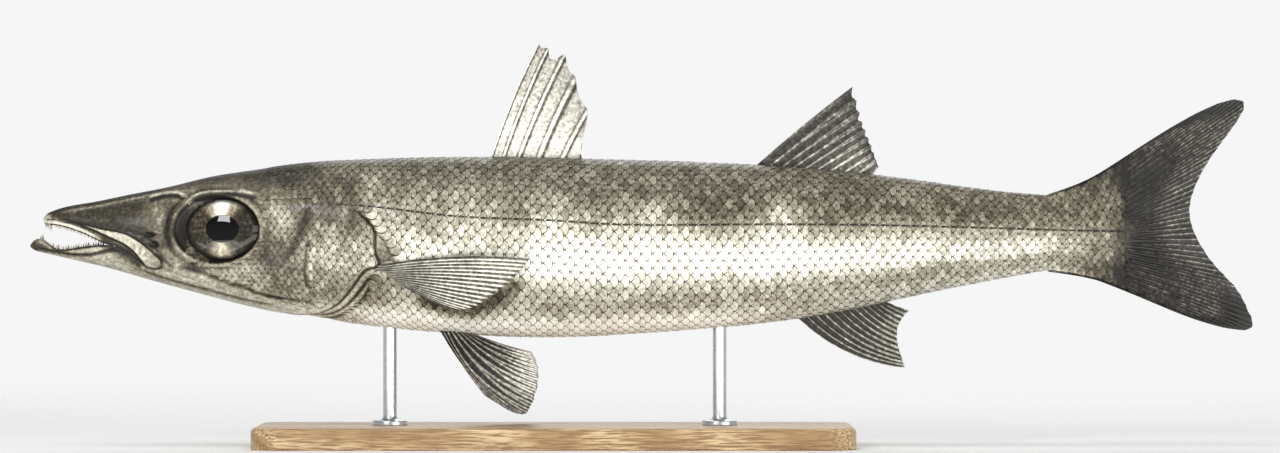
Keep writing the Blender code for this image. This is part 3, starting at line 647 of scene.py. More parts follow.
def darkness(station, height):
    """How dark the fish is at each place, from 0 to 1. The numbers are the drawing's own tones."""
    station, height = np.broadcast_arrays(np.asarray(station, float), np.asarray(height, float))
    line, top, bottom = LATERAL_LINE(station), top_edge(station), under_edge(station)
    above = (height - line) / np.maximum(top - line, 1.0)
    below = (line - height) / np.maximum(line - bottom, 1.0)
    # The body: above and below are shares of the way from the lateral line to the outline.
    reach = 0.62 + 0.16 * soft(station, 240, 340)
    # The last term is painted light from above: the back is a little lighter near its top edge.
    body = 0.20 + 0.42 * soft(above, -reach, 0.48) - 0.04 * soft(above, 0.55, 0.9)
    body += 0.21 * soft(below, 0.40, 0.68)
    body -= (0.44 - 0.32 * soft(station, 245, 285)) * soft(below, 0.74, 0.94)
    body += 0.05 * soft(station, 270, 320) * soft(below, -0.2, 0.2)
    for where, level, wide, amount in BLOTCHES_AND_FIN_SHADE:
        across = np.where(height > level, 2.2, 1.0) * (height - level) / 9.0
        body += amount * bell((station - where) / wide, across)
    edges = soft(np.maximum(above, below), 0.45, 0.95)
    body += (0.60 + 0.26 * edges - body) * soft(station, 371, 403) + 0.30 * soft(station, 395, 406)

    # The head: its crown, snout, tone patches and painted shade, the upper jaw bone, the lips and gums,
    # then painted shadow under the jaw bone and painted light and shade along its lines.
    head = 0.46 + 0.32 * soft(height, 11, 21) - 0.12 * soft(-height, 19, 28)
    jaw = UPPER_LIP(np.clip(station, 5, 39))
    head += 0.38 * (1 - soft(station, 34, 62)) * soft(height, jaw + 1, jaw + 4)
    along_snout = soft(station, 10, 16) * (1 - soft(station, 42, 52))
    head -= 0.28 * bell((top - height - 1.9) / 0.6) * along_snout
    for where, level, wide, high, amount in HEAD_TONES_AND_SHADE:
        head += amount * bell((station - where) / wide, (height - level) / high)
    distance, sign, _ = near_line(station, height, BLADE, closed=True)
    blade = soft(-sign * distance, 0.1, 0.7) * soft(station, 9, 16)
    head += (0.32 + 0.22 * soft(station, 38, 48) - head) * 0.85 * blade
    lip = height - UPPER_LIP(np.clip(station, 5, 31))
    lip = soft(lip, 0.35, 0.7) * (1 - soft(lip, 1.8, 2.5)) * (1 - soft(station, 21, 26))
    head += (0.28 - head) * 0.85 * lip
    bulb = (1 - soft(station, 7.6, 8.8)) * soft(jaw + 4.4 - height, 0, 1.2) * (height > jaw)
    head += (0.30 - head) * 0.85 * bulb
    gum = height - LOWER_LIP(np.clip(station, 0, 31))
    lower_jaw = (gum < 0.3) * (1 - soft(station, 44, 60))
    lower_jaw = lower_jaw * (1 - soft(height, -8, -5 + 3 * (station < 31)))
    head += 0.22 * (1 - soft(station, 2, 4.5)) - 0.03 * lower_jaw * soft(station, 2, 5)
    head += 0.34 * bell((gum + 0.5) / 0.4) * soft(station, 7, 10) * (1 - soft(station, 29, 33))
    # Painted shadow under the upper jaw bone, where it lies over the lower jaw.
    head += groove(station, height, SHADOW_UNDER_JAW_BONE, 0.45, 1.8, 0.15) * (1 - blade)
    # Painted highlights on the brow and the cheek's edge, painted shade along the cheek muscle.
    for points, amount, wide in RIDGE_LIGHT_AND_SHADE:
        head += groove(station, height, points, amount, wide, 0.2)

    # Behind the gill cover's edge the body's tones take over from the head's.
    distance, sign, _ = near_line(station, height, GILL_COVER + [(90.0, -30.0)])
    behind = soft(np.where(sign > 0, distance, -distance), -1.5, 1.5)
    behind = np.maximum(behind, soft(height, 9, 15) * soft(station, 96, 122))
    behind = np.where(station > 136, 1.0, np.where(station < 88, 0.0, behind))
    distance, sign, _ = near_line(station, height, SHOULDER)
    collar = (station > 118) & (station < 138) & (np.abs(height) < 12) & (sign < 0)
    body += 0.16 * collar * soft(distance, 0, 0.8)
    # Painted shadow of the pectoral fin on the body.
    body += groove(station, height, PECTORAL_CAST_SHADOW, 0.36, 2.4)
    return np.clip(head + (body - head) * behind, 0, 1)


# %% [markdown]
# One skin covers the whole fish. It is a grid: rings of points stand along the body, closer together
# round the eye, and each half is mirrored. The two lips, the palate and the floor of the mouth meet
# at the corner of the gape, so the mesh is one closed surface with a real mouth and no seam.

# %% The skin's rings
UPPER_COLUMNS, LOWER_COLUMNS, LINING_COLUMNS = 96, 32, 18
DEPTH = straight([(0, 0.05), (60, 0.12), (95, 0.25), (125, 0.5), (380, 0.5), (400, 0.3), (412, 0.0)])


def tip_run(tip, radius, count):
    """Stations that crowd towards a round tip."""
    return tip + radius * (1 - np.cos(np.linspace(0, math.pi / 2, count)))


stations = np.concatenate([
    tip_run(*CHIN, 9), [3.3, 3.8, 4.3], tip_run(*SNOUT, 10),
    np.linspace(8.2, GAPE_CORNER, 40)[1:], np.linspace(GAPE_CORNER, 54, 38)[1:],
    np.linspace(54, 90, 84)[1:], np.linspace(90, 138, 86)[1:], np.linspace(138, 400, 64)[1:],
    np.linspace(400, SKIN_END, 7)[1:],
])
first_upper, corner = np.searchsorted(stations, [SNOUT[0], GAPE_CORNER])
print("rings:", len(stations), "first upper:", first_upper, "corner:", corner)

even, lower_shares, lining_shares = [
    np.linspace(0, 1, columns + 1) for columns in (UPPER_COLUMNS, LOWER_COLUMNS, LINING_COLUMNS)]


def ring(station, line, shares):
    """A line of a half section as points on the fish's left, at these shares of its length."""
    across, up = spread(line, shares)
    return np.stack([np.full(len(shares), station), -across, up], axis=-1)


upper, lower, palate, floor_of_mouth = [], [], [], []
for i, station in enumerate(stations):
    crowding = 0.4 * soft(station, 30, 55) * (1 - soft(station, 100, 140))
    upper_shares = even + crowding * np.sin(2 * math.pi * even) / (2 * math.pi)
    if i >= corner:
        above, below = closed_lines(station)
    else:
        above, roof = jaw_lines(max(station, SNOUT[0]), *UPPER_JAW)
        below, bed = [line[:, ::-1] for line in jaw_lines(station, *LOWER_JAW)]
    if i == corner:
        across, up = below[:, 0]
        roof = np.array([[across, 0], [up, up]])
        bed = roof[:, ::-1]
    lower.append(ring(station, below, lower_shares))
    if i <= corner:
        floor_of_mouth.append(ring(station, bed, lining_shares))
    if i >= first_upper:
        upper.append(ring(station, above, upper_shares))
    if first_upper <= i <= corner:
        palate.append(ring(station, roof, lining_shares))
upper, lower, palate, floor_of_mouth = [
    np.array(grid) for grid in (upper, lower, palate, floor_of_mouth)]

# %% [markdown]
# The relief moves each point along the plain body's own normal. Afterwards the shared edges of the
# four grids are given one place, so that they weld into one surface.

# %% The skin's surface


def grid_normals(points):
    """Unit normals of a grid of points, from its differences along rings and columns."""
    normal = np.cross(np.gradient(points, axis=1), np.gradient(points, axis=0))
    size = np.linalg.norm(normal, axis=-1, keepdims=True)
    return np.where(size > 1e-9, normal / np.maximum(size, 1e-9), (-1.0, 0.0, 0.0))


def dressed(points, middle_column):
    """The grid moved by its relief and sunk to the skin's depth, with its painted crease shade."""
    normal = grid_normals(points)
    normal[:, middle_column, 1] = 0
    rise, crease_shade = relief(points[..., 0], points[..., 2])
    return points + normal * (rise - DEPTH(points[..., 0]))[..., None], crease_shade


upper_skin, upper_crease_shade = dressed(upper, 0)
lower_skin, lower_crease_shade = dressed(lower, -1)
gape = corner - first_upper
seam = (upper_skin[gape:, -1] + lower_skin[corner:, 0]) / 2
upper_skin[gape:, -1], lower_skin[corner:, 0] = seam, seam
palate[:, 0] = upper_skin[: gape + 1, -1]
floor_of_mouth[:, -1] = lower_skin[: corner + 1, 0]
floor_of_mouth[-1] = palate[-1][::-1]
for grid, lining in ((upper_skin, palate), (lower_skin, floor_of_mouth)):
    grid[-1, :, 1] = 0
    grid[0] = lining[0] = grid[0].mean(axis=0)

grids = [upper_skin, lower_skin, palate, floor_of_mouth]
blank = [np.zeros(grid.shape[:2]) for grid in grids]
skin_values = {
    "dark": [darkness(grid[..., 0], grid[..., 2]) for grid in (upper, lower)] + blank[2:],
    "crease_shade": [upper_crease_shade, lower_crease_shade] + blank[2:],
    "lining": blank[:2] + [values + 1 for values in blank[2:]],
}
skin_traits = {
    name: np.concatenate([sheet.ravel() for sheet in sheets] * 2) for name, sheets in skin_values.items()
}

skin_points, skin_faces, start = [], [], 0
for side in (1, -1):
    for grid in grids:
        skin_points.append(grid.reshape(-1, 3) * (1, side, 1))
        skin_faces.append(grid_faces(*grid.shape[:2], start)[:, ::side])
        start += grid[..., 0].size
print("skin points:", start)

# %% [markdown]
# Fish skin is silver because flat crystals of guanine lie in it like tiny mirrors, with dark pigment
# cells over them on the back. So the finish goes from a white belly through silver, part metal, to a
# brownish black by one darkness value, broken up by mottling of about 6 mm and specks of about
# 0.7 mm, which is as coarse as the specks need to be to show. A film of water gives the coat its gloss.

# %% Colours of the fish
FISH_STOPS = [
    (0.0, "#F0EEE6"), (0.16, "#DAD8CE"), (0.30, "#BBB8AB"), (0.46, "#8A8575"), (0.64, "#565042"),
    (0.82, "#2E2A21"), (1.0, "#15130E"),
]
METAL_STOPS = [(0.0, 0.12), (0.16, 0.26), (0.36, 0.22), (0.62, 0.10), (1.0, 0.04)]
MOTTLE_SIZE, SPECK_SIZE = 0.006, 0.0007
WATER_IOR = 1.33


def wet(shader, weight, roughness):
    """A film of water over a surface."""
    plug(shader, {"Coat Weight": weight, "Coat Roughness": roughness, "Coat IOR": WATER_IOR})


def pigment(look, where, speck_weight, mottle_weight, mottle_detail, added=None):
    """The darkness trait, broken up by specks and mottling, and the specks themselves."""
    mottle = noise(look, where, 1 / MOTTLE_SIZE, mottle_detail, 0.6)
    speck = noise(look, where, 0.5 / SPECK_SIZE, 2.0, 0.7)
    dark = trait(look, "dark")
    for cloud, weight in ((mottle, mottle_weight), (speck, speck_weight)):
        dark = calc(look, "MULTIPLY_ADD", calc(look, "ADD", cloud, -0.5), weight, dark)
    return dark if added is None else calc(look, "ADD", dark, added), speck


def fish_nodes(look, shader, added):
    """Gives a shader silver and gloss by the darkness trait. Returns its colour and the place."""
    where = position(look)
    dark, _ = pigment(look, where, 0.58, 0.26, 4.0, added)
    plug(shader, {"Metallic": ramp(look, dark, METAL_STOPS), "IOR": WATER_IOR, "Specular IOR Level": 0.3})
    wet(shader, 0.2, 0.14)
    return ramp(look, dark, FISH_STOPS), where


skin_look, shader = new_look("wet_guanine_skin")
# Painted shade: the skin's colour darkens by its crease shade in folds and recesses.
painted_crease_shade = calc(skin_look, "MULTIPLY", trait(skin_look, "crease_shade"), 0.55)
colour, where = fish_nodes(skin_look, shader, painted_crease_shade)
grain = noise(skin_look, where, 1400.0, 3.0)
wrinkle = noise(skin_look, where, 260.0, 3.0, distortion=0.6)
plug(shader, {
    "Base Color": mix(skin_look, trait(skin_look, "lining"), colour, hex_colour("#8F7A72")),
    "Roughness": 0.44,
    "Normal": bump(skin_look, calc(skin_look, "MULTIPLY_ADD", wrinkle, 1.6, grain), 0.5, 0.00035),
})

# %% [markdown]
# The skin of a mounted fish is stretched over the whole form in one piece, and so is this one: it
# takes the place of all the solids of flesh, from the jaws to the tail stalk.

# %% The skin
FLESH_NODES = [
    "upper_jaw", "lower_jaw", "head", "gill_cover_left", "gill_cover_right", "fore_trunk", "trunk",
    "tail_stalk",
]
skin = make_piece("skin", place(*np.concatenate(skin_points).T), np.concatenate(skin_faces), skin_look,
                  skin_traits, join=1e-6)
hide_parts(*FLESH_NODES)

# %% [markdown]
# Scales are thin bony plates rooted in the skin, each overlapping the next like roof tiles, with the
# free edge to the rear. They stand in rows along the body, every other row half a scale further back,
# so the visible parts make a net of diamonds with round corners. One scale is laid out flat, and its
# points are then looked up on a table of the body's surface, so that each scale bends with the body.

# %% A table of the body's surface
ROW_SPACING = straight([
    (54, 1.5), (88, 1.7), (120, 2.2), (150, 2.65), (265, 2.65), (340, 2.2), (412, 1.5)])
FIN_BASE_HALF = 0.95


def coat_line(station):
    """The half section that scales lie on, with the tail fin's base above and below the body's."""
    line = body_line(station)
    if station <= FIN_BASE:
        return line
    half = FIN_BASE_HALF - 0.35 * float(soft(station, 396, 408)) + float(DEPTH(station))
    half *= float(soft(station, FIN_BASE, FIN_BASE + 6))
    across = np.hypot(line[0], half)
    top = max(float(top_edge(station)), line[1, 0] + 0.05)
    under = min(float(under_edge(station)), line[1, -1] - 0.05)
    return np.array([np.concatenate([[half], across, [half]]), np.concatenate([[top], line[1], [under]])])


TABLE_STEP, ARC_STEP, ARC_REACH = 1.5, 0.5, 120
table_stations = np.arange(54.0, 413.0, TABLE_STEP)
arc_offsets = np.arange(-ARC_REACH, ARC_REACH + 1) * ARC_STEP
table = np.zeros((len(table_stations), len(arc_offsets), 3))
table_reach = np.zeros((2, len(table_stations)))
for i, station in enumerate(table_stations):
    # On the tail fin's base the rows keep their number and fan out with the outline.
    line = coat_line(station)
    length = run(*line)
    middle = np.interp(-LATERAL_LINE(station), -line[1], length)
    sizes = np.array([middle, length[-1] - middle])
    if station <= FIN_BASE:
        rows = sizes / ROW_SPACING(station)
    fan = sizes / (rows * ROW_SPACING(station))
    arcs = middle + arc_offsets * np.where(arc_offsets < 0, fan[0], fan[1])
    inside = np.where(arcs > length[-1], 2 * length[-1] - arcs, np.abs(arcs))
    beyond = np.where((arcs < 0) | (arcs > length[-1]), -1, 1)
    across, up = [np.interp(inside, length, axis) for axis in line]
    table[i] = np.stack([station + 0 * up, -across * beyond, up], axis=-1)
    table_reach[:, i] = sizes / fan
table_normals = grid_normals(table)
print("longest half girth:", round(float(table_reach.sum(axis=0).max()), 1), "mm")


def on_body(station, arc):
    """The point and normal on the fish's left at a station and a length down from the lateral line."""
    row = np.clip((station - table_stations[0]) / TABLE_STEP, 0, len(table_stations) - 1.001)
    column = np.clip(arc / ARC_STEP + ARC_REACH, 0, len(arc_offsets) - 1.001)
    i, j = row.astype(int), column.astype(int)
    a, b = (row - i)[..., None], (column - j)[..., None]
    looked_up = []
    for values in (table, table_normals):
        near = values[i, j] * (1 - b) + values[i, j + 1] * b
        far = values[i + 1, j] * (1 - b) + values[i + 1, j + 1] * b
        looked_up.append(near * (1 - a) + far * a)
    point, normal = looked_up
    return point, normal / np.linalg.norm(normal, axis=-1, keepdims=True)


# %% [markdown]
# The flat scale has a narrow root, which stays hidden, and a round free edge. Its outermost row of
# points is a thin border of its own, because pigment cells gather there and draw the net that the eye
# sees. A skirt round it gives the plate its thickness.

# %% One scale, laid flat
SCALE_ROWS = [-0.90, -0.50, -0.15, 0.12, 0.27, 0.37, 0.485]
SCALE_COLUMNS = [-1.0, -0.80, -0.42, 0.0, 0.42, 0.80, 1.0]
SCALE_MIDDLE, SCALE_REACH, SCALE_SHARE, SCALE_ROUND, ROOT_SHARE = -0.25, 0.75, 1.22, 1.75, 0.75
SCALE_THICK, SCALE_ARCH = 0.16, 0.16
ROOT_AHEAD, RISE_LENGTH = 0.9, 1.4


def tilt(along):
    """How far a scale has risen on its way from the root to the free edge, near 1 at the edge."""
    return (along + ROOT_AHEAD) / RISE_LENGTH


along, across = np.meshgrid(SCALE_ROWS, SCALE_COLUMNS, indexing="ij")
out = np.minimum(np.abs(along - SCALE_MIDDLE) / SCALE_REACH, 1.0)
wide = SCALE_SHARE * (1 - out**SCALE_ROUND) ** (1 / SCALE_ROUND)
wide = np.where(along < SCALE_MIDDLE, np.maximum(wide, ROOT_SHARE), wide)
arch = tilt(along) * (1 - SCALE_ARCH * across**2)
flat = np.stack([along, across * wide, arch], axis=-1).reshape(-1, 3)
border = np.ones(along.shape)
border[:-1, 1:-1] = 0
spots = np.arange(along.size).reshape(along.shape)
rim = np.concatenate([spots[:, 0], spots[-1, 1:], spots[-2::-1, -1]])
skirt = along.size + np.arange(len(rim))
flat_scale = np.concatenate([flat, flat[rim]])
flat_drop = np.concatenate([np.zeros(len(flat)), np.full(len(rim), SCALE_THICK)])
flat_edge = np.concatenate([border.ravel(), np.ones(len(rim))])
scale_faces = np.concatenate([
    grid_faces(*along.shape), np.stack([rim[:-1], rim[1:], skirt[1:], skirt[:-1]], axis=-1)])
print("faces in a scale:", len(scale_faces))

# %% [markdown]
# A scale is about 4 mm from one to the next along the flank, and rows are 2.65 mm apart, which gives
# more than seventy along the lateral line. They are smaller on the nape and on the tail, and about
# half the size on the cheeks and gill covers. Each has its own small shift in tone.

# %% Where scales grow
SCALE_LENGTH = straight([(54, 2.3), (88, 2.4), (120, 3.2), (150, 4), (260, 4), (340, 3.6), (412, 2.7)])
FRONT_OF_SCALES = straight([
    (-36, 102), (-34, 107), (-32, 112), (-29, 118), (-25, 123), (-21, 126), (-17, 128.5), (-13, 132),
    (-11, 138), (-8, 136), (-4, 133), (-0.5, 130.4), (4.6, 127), (8.2, 124.2), (10.5, 121), (11.8, 113),
    (12.5, 104), (16, 97), (20, 92), (24, 88),
])
CHEEK_PATCH = [
    (87.5, 10.5), (100, 11.5), (112, 11.8), (119, 8.4), (123.4, 4.6), (126.2, 0.6), (126.5, -8),
    (126.5, -11.4), (121, -15.4), (115.5, -22), (110.5, -26.2), (103.5, -27.6), (95, -24.4),
    (84, -21.2), (72, -16.6), (66, -13.6), (74, -13.2), (81, -10.6), (86.5, -5), (88, 2),
]
TAIL_OF_SCALES, RAGGED = 401.8, 1.6
EDGE_GAP = 0.2


def scale_places(first, last, wanted):
    """Roots of scales as (station, arc, length, spacing), rows either side of the lateral line."""
    columns = [first]
    while columns[-1] < last:
        columns.append(columns[-1] + float(SCALE_LENGTH(columns[-1])))
    columns, rows = np.array(columns), np.arange(-20, 26)
    station = columns[None, :] + (rows % 2)[:, None] * SCALE_LENGTH(columns)[None, :] / 2
    arc = (rows[:, None] * ROW_SPACING(station)).ravel()
    station = station.ravel()
    spacing = ROW_SPACING(station)
    top, bottom = [np.interp(station, table_stations, reach) for reach in table_reach]
    kept = (arc > EDGE_GAP * spacing - top) & (arc < bottom - EDGE_GAP * spacing)
    point, _ = on_body(station, arc)
    kept &= wanted(point[:, 0], point[:, 2])
    return np.stack([station, arc, SCALE_LENGTH(station), spacing], axis=-1)[kept]


def on_trunk(station, height):
    """Behind the gill cover, and ahead of a ragged line over the tail fin's base."""
    ragged = np.sin(12.9 * station + 7.8 * height) ** 4
    end = TAIL_OF_SCALES + RAGGED * ((height / 27.0) ** 2 + ragged)
    return (station > FRONT_OF_SCALES(height)) & (station < end)


def on_cheek(station, height):
    """Inside the cheek's patch."""
    _, sign, _ = path_distance(station, height, np.array(CHEEK_PATCH + CHEEK_PATCH[:1]).T)
    return sign < 0


trunk_scales = scale_places(84.0, 410.0, on_trunk)
cheek_scales = scale_places(60.0, 128.0, on_cheek)
print("scales on a side:", len(trunk_scales), "on a cheek:", len(cheek_scales))
print("along the lateral line:", int((np.abs(trunk_scales[:, 1]) < 0.01).sum()))

# %% [markdown]
# The coat shares the skin's markings, with a darker border on each scale. Each piece also keeps a small
# patch for each scale on an unwrap of the body, station against girth, so its colours can be baked.

# %% The coat
scale_look, shader = new_look("cycloid_scales")
edge_dark = calc(scale_look, "MULTIPLY_ADD", trait(scale_look, "edge"), 0.76, trait(scale_look, "tone"))
colour, where = fish_nodes(scale_look, shader, edge_dark)
growth = noise(scale_look, where, 1500.0, 2.0)
plug(shader, {"Base Color": colour, "Roughness": 0.48, "Normal": bump(scale_look, growth, 0.35, 0.0002)})

PATCH = 0.003
FLANK_SCALE, TONE_SPREAD = 4.0, 0.04
BODY_LIFT, CHEEK_LIFT = 0.40, 0.20
random = np.random.default_rng(7)


def on_each(places, along, across, up):
    """Copies of a small shape, one on each scale's place, and the painted crease shade of the skin under
    them.
    """
    station = places[:, 0, None] + along * places[:, 2, None]
    point, normal = on_body(station, places[:, 1, None] + across)
    rise, crease_shade = relief(point[..., 0], point[..., 2])
    return point + normal * (rise - DEPTH(station) + up)[..., None], crease_shade


def make_copies(name, point, faces, side, traits, sharp=None):
    """One piece of all the copies, on a side of the fish."""
    copies, count = point.shape[:2]
    faces = (faces[None] + count * np.arange(copies)[:, None, None]).reshape(-1, 4)[:, ::-side]
    spots = place(point[..., 0], point[..., 1] * -side, point[..., 2])
    traits = {key: np.broadcast_to(values, (copies, count)) for key, values in traits.items()}
    return make_piece(name, spots, faces, scale_look, traits, sharp)


def make_coat(name, places, side, lift):
    """A piece of overlapping scales."""
    along, across, height = flat_scale.T
    size = places[:, 2, None] / FLANK_SCALE
    up = (height * lift - flat_drop * lift / BODY_LIFT) * size
    point, crease_shade = on_each(places, along, across * places[:, 3, None], up)
    tone = random.normal(0, TONE_SPREAD, len(places))[:, None]
    root_dark = darkness(places[:, 0], on_body(places[:, 0], places[:, 1])[0][:, 2])[:, None]
    # The scales take some of the skin's painted crease shade too.
    values = 0.5 * darkness(point[..., 0], point[..., 2]) + 0.5 * root_dark + 0.3 * crease_shade
    traits = {"dark": values, "edge": flat_edge, "tone": tone}
    piece = make_copies(name, point, scale_faces, side, traits, sharp=50)
    root = np.stack([places[:, 0], places[:, 1] + ARC_REACH * ARC_STEP], axis=-1) / TOTAL_LENGTH
    local = (flat_scale[:, :2] - flat_scale[:, :2].min(axis=0)) / np.ptp(flat_scale[:, :2], axis=0)
    unwrap = (root[:, None] + PATCH * (local[None] - 0.5)).reshape(-1, 2)
    corners = np.zeros(len(piece.data.loops), int)
    piece.data.loops.foreach_get("vertex_index", corners)
    piece.data.uv_layers.new(name="OFBake").data.foreach_set("uv", unwrap[corners].ravel())


COAT_PARTING = 225.0
front = trunk_scales[:, 0] < COAT_PARTING
SIDES = ((-1, "left"), (1, "right"))
for side, end in SIDES:
    make_coat(f"scales_front_{end}", trunk_scales[front], side, BODY_LIFT)
    make_coat(f"scales_rear_{end}", trunk_scales[~front], side, BODY_LIFT)
    make_coat(f"scales_cheek_{end}", cheek_scales, side, CHEEK_LIFT)

# %% [markdown]
# The lateral line is a canal that feels movement in the water. Each scale along it carries a small
# raised tube with a pore at its rear end, and together they show as a thin broken line.

# %% The lateral line
TUBE_RINGS, TUBE_SIDES = 9, 7
TUBE_HALF_WIDTH, TUBE_RISE, TUBE_SINK, TUBE_DARK = 0.50, 0.40, 0.04, 0.38

tube_along, tube_turn = [grid.ravel() for grid in np.meshgrid(
    np.linspace(-0.22, 0.40, TUBE_RINGS), np.linspace(0, math.pi, TUBE_SIDES), indexing="ij")]
swell = np.sqrt(np.clip(1 - ((tube_along - 0.09) / 0.31) ** 2, 0, 1)) * 0.85 + 0.1
pore = np.repeat([0.0] * (TUBE_RINGS - 2) + [0.30, 0.55], TUBE_SIDES)


def make_lateral_line(name, side):
    """Small tubes along one side, one on each scale of the lateral line."""
    places = trunk_scales[np.abs(trunk_scales[:, 1]) < 0.01]
    size = places[:, 2, None] / FLANK_SCALE
    across = TUBE_HALF_WIDTH * size * swell * -np.cos(tube_turn)
    up = (tilt(tube_along) * BODY_LIFT + TUBE_RISE * swell * np.sin(tube_turn) - TUBE_SINK) * size
    point, _ = on_each(places, tube_along, across, up)
    traits = {"dark": darkness(point[..., 0], point[..., 2]) + TUBE_DARK, "edge": pore, "tone": 0.0}
    make_copies(name, point, grid_faces(TUBE_RINGS, TUBE_SIDES), side, traits)


for side, end in SIDES:
    make_lateral_line(f"lateral_line_{end}", side)

# %% [markdown]
# A barracuda's teeth are flattened cones of enamel that lean back a little, the longest in front.
# Each one is a stack of shrinking ovals whose centre drifts back towards the tip.

# %% Teeth
TOOTH_ROW, TOOTH_SINK = 0.86, 0.7
UPPER_FANGS, UPPER_TEETH = [(5.9, 1.4), (7.3, 2.3)], (9.4, 25.8, 14, 1.3)
LOWER_FANGS, LOWER_TEETH = [(4.3, 1.8)], (8.2, 26.4, 11, 1.7)
TOOTH_RINGS, TOOTH_SIDES = 7, 10
TOOTH_STOUT, TOOTH_LEAN, TOOTH_FLAT, TOOTH_POINT = 0.30, 0.16, 0.7, 0.02

tooth_look, shader = new_look("tooth_enamel")
enamel = ramp(tooth_look, trait(tooth_look, "reach"), [
    (0.0, "#40382E"), (0.5, "#766D5D"), (1.0, "#B5AE9E")])
plug(shader, {"Base Color": enamel, "Roughness": 0.18, "IOR": 1.6})


def make_teeth(name, jaw, fangs, row, direction):
    """The teeth of one jaw, on both sides: fangs are (station, length), and a row is even."""
    tip, lip, _, half_width = jaw[:4]
    first, last, count, longest = row
    lengths = longest * (0.8 + 0.2 * (np.arange(count) % 2))
    share, turn = np.meshgrid(np.linspace(0, 1, TOOTH_RINGS), circle(TOOTH_SIDES), indexing="ij")
    points, faces = [], []
    for station, length in [*fangs, *zip(np.linspace(first, last, count), lengths)]:
        radius = TOOTH_STOUT * length * (1 - share**1.4) + TOOTH_POINT
        along = station + TOOTH_LEAN * length * share**2 + radius * np.cos(turn)
        height = lip(station) + direction * ((length + TOOTH_SINK) * share - TOOTH_SINK)
        across = TOOTH_ROW * half_width(station) * rounded(station, *tip)
        for side in (-1, 1):
            faces += lathe_faces(TOOTH_RINGS, TOOTH_SIDES, len(points) * share.size)
            points.append(place(along, side * across + TOOTH_FLAT * radius * np.sin(turn), height))
    reach = np.broadcast_to(share, (len(points), *share.shape))
    make_piece(name, points, faces, tooth_look, {"reach": reach}, join=1e-7)


make_teeth("upper_teeth", UPPER_JAW, UPPER_FANGS, UPPER_TEETH, -1)
make_teeth("lower_teeth", LOWER_JAW, LOWER_FANGS, LOWER_TEETH, 1)

# %% [markdown]
# A barracuda's eye is large, flat and unblinking: a round black pupil, a bronze and silver iris that is
# pale above and below it and clouded with dark pigment, and over all a clear wet cornea. The pale fan
# above the pupil is partly painted highlight, run on from the lamp's glint. The dome is a disc of rings
# set square to the side of the head, and the colours follow the distance from its middle.

# %% Eyes
EYE_STATION, EYE_HEIGHT, EYE_HALF_LENGTH, EYE_HALF_HEIGHT = EYE
EYE_PROFILE = smooth([(0.0, 2.1), (0.36, 1.9), (0.66, 1.35), (0.87, 0.6), (1.0, -0.5)])
EYE_RINGS, EYE_SIDES, EYE_REACH = 34, 96, 4.0
PUPIL, PUPIL_EDGE, PUPIL_BACK = 0.455, 0.008, 0.045
STREAKS = ((5, 0.3, 1.0), (11, 1.9, -0.6), (17, 4.0, 0.8), (23, 2.2, -1.2))

eye_look, shader = new_look("fish_eye_iris")
fine = noise(eye_look, position(eye_look), 900.0, 3.0)
cloud = calc(eye_look, "MULTIPLY_ADD", trait(eye_look, "streak"), 0.5, trait(eye_look, "cloud"))
iris = ramp(eye_look, calc(eye_look, "MULTIPLY_ADD", fine, 0.55, cloud), [
    (0.10, "#F2F0E8"), (0.35, "#ABA390"), (0.60, "#625A49"), (0.85, "#302C24"), (1.0, "#191712")])
black = ramp(eye_look, trait(eye_look, "radius"), [
    (0.0, 1), (PUPIL - PUPIL_EDGE, 1), (PUPIL + PUPIL_EDGE, 0), (0.83, 0), (0.93, 0.85), (1.0, 1)])
plug(shader, {
    "Base Color": mix(eye_look, black, iris, hex_colour("#050505")),
    "Roughness": 0.32, "Specular IOR Level": 0.0,
})
wet(shader, 0.7, 0.02)


def eye_axes(side):
    """The eye's backward, upward and outward directions, square to the head's side."""
    along = side_at(EYE_STATION + EYE_REACH, EYE_HEIGHT) - side_at(EYE_STATION - EYE_REACH, EYE_HEIGHT)
    upward = side_at(EYE_STATION, EYE_HEIGHT + EYE_REACH) - side_at(EYE_STATION, EYE_HEIGHT - EYE_REACH)
    backward = Vector((2 * EYE_REACH, side * along, 0)).normalized()
    up = Vector((0, side * upward, 2 * EYE_REACH)).normalized()
    return [np.array(axis) for axis in (backward, up, up.cross(backward).normalized() * side)]


def make_eye(name, node, side):
    """One eye, from its middle out over the dome and down behind the rim."""
    backward, up, out = eye_axes(side)
    shares = np.concatenate([np.linspace(0.0, 1.0, EYE_RINGS), [1.0, 0.97, 0.80]])
    rises = np.concatenate([EYE_PROFILE(shares[:EYE_RINGS]), [-1.6, -3.0, -4.4]])[:, None, None]
    turn = np.linspace(0, 2 * math.pi, EYE_SIDES + 1)
    share, angle = np.meshgrid(shares, turn, indexing="ij")
    x, y = share * np.cos(angle), share * np.sin(angle)
    middle = np.array([EYE_STATION, side * float(side_at(EYE_STATION, EYE_HEIGHT)), EYE_HEIGHT])
    points = middle + rises * out
    points = points + (x * EYE_HALF_LENGTH)[..., None] * backward + (y * EYE_HALF_HEIGHT)[..., None] * up
    streak = sum(np.sin(k * angle + phase + 4 * share * spin) / 4 for k, phase, spin in STREAKS)
    above = np.sin(angle) > 0
    # The fan above the pupil is wider and whiter than the one below: partly the iris's own pale patch and
    # partly a painted highlight that joins the lamp's glint.
    fan = np.abs(np.sin(angle)) ** np.where(above, 6, 14) * soft(share, 0.36, 0.50)
    radius = np.hypot(x - PUPIL_BACK * (1 - share), y)
    radius[EYE_RINGS:] = 1.0
    traits = {
        "radius": radius, "streak": 0.25 * streak,
        "cloud": 0.62 - np.where(above, 0.70, 0.55) * fan + 0.03 * np.cos(angle),
    }
    spots = place(*np.moveaxis(points, -1, 0))
    piece = make_piece(name, spots, grid_faces(*share.shape), eye_look, traits, join=1e-6)
    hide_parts(node)


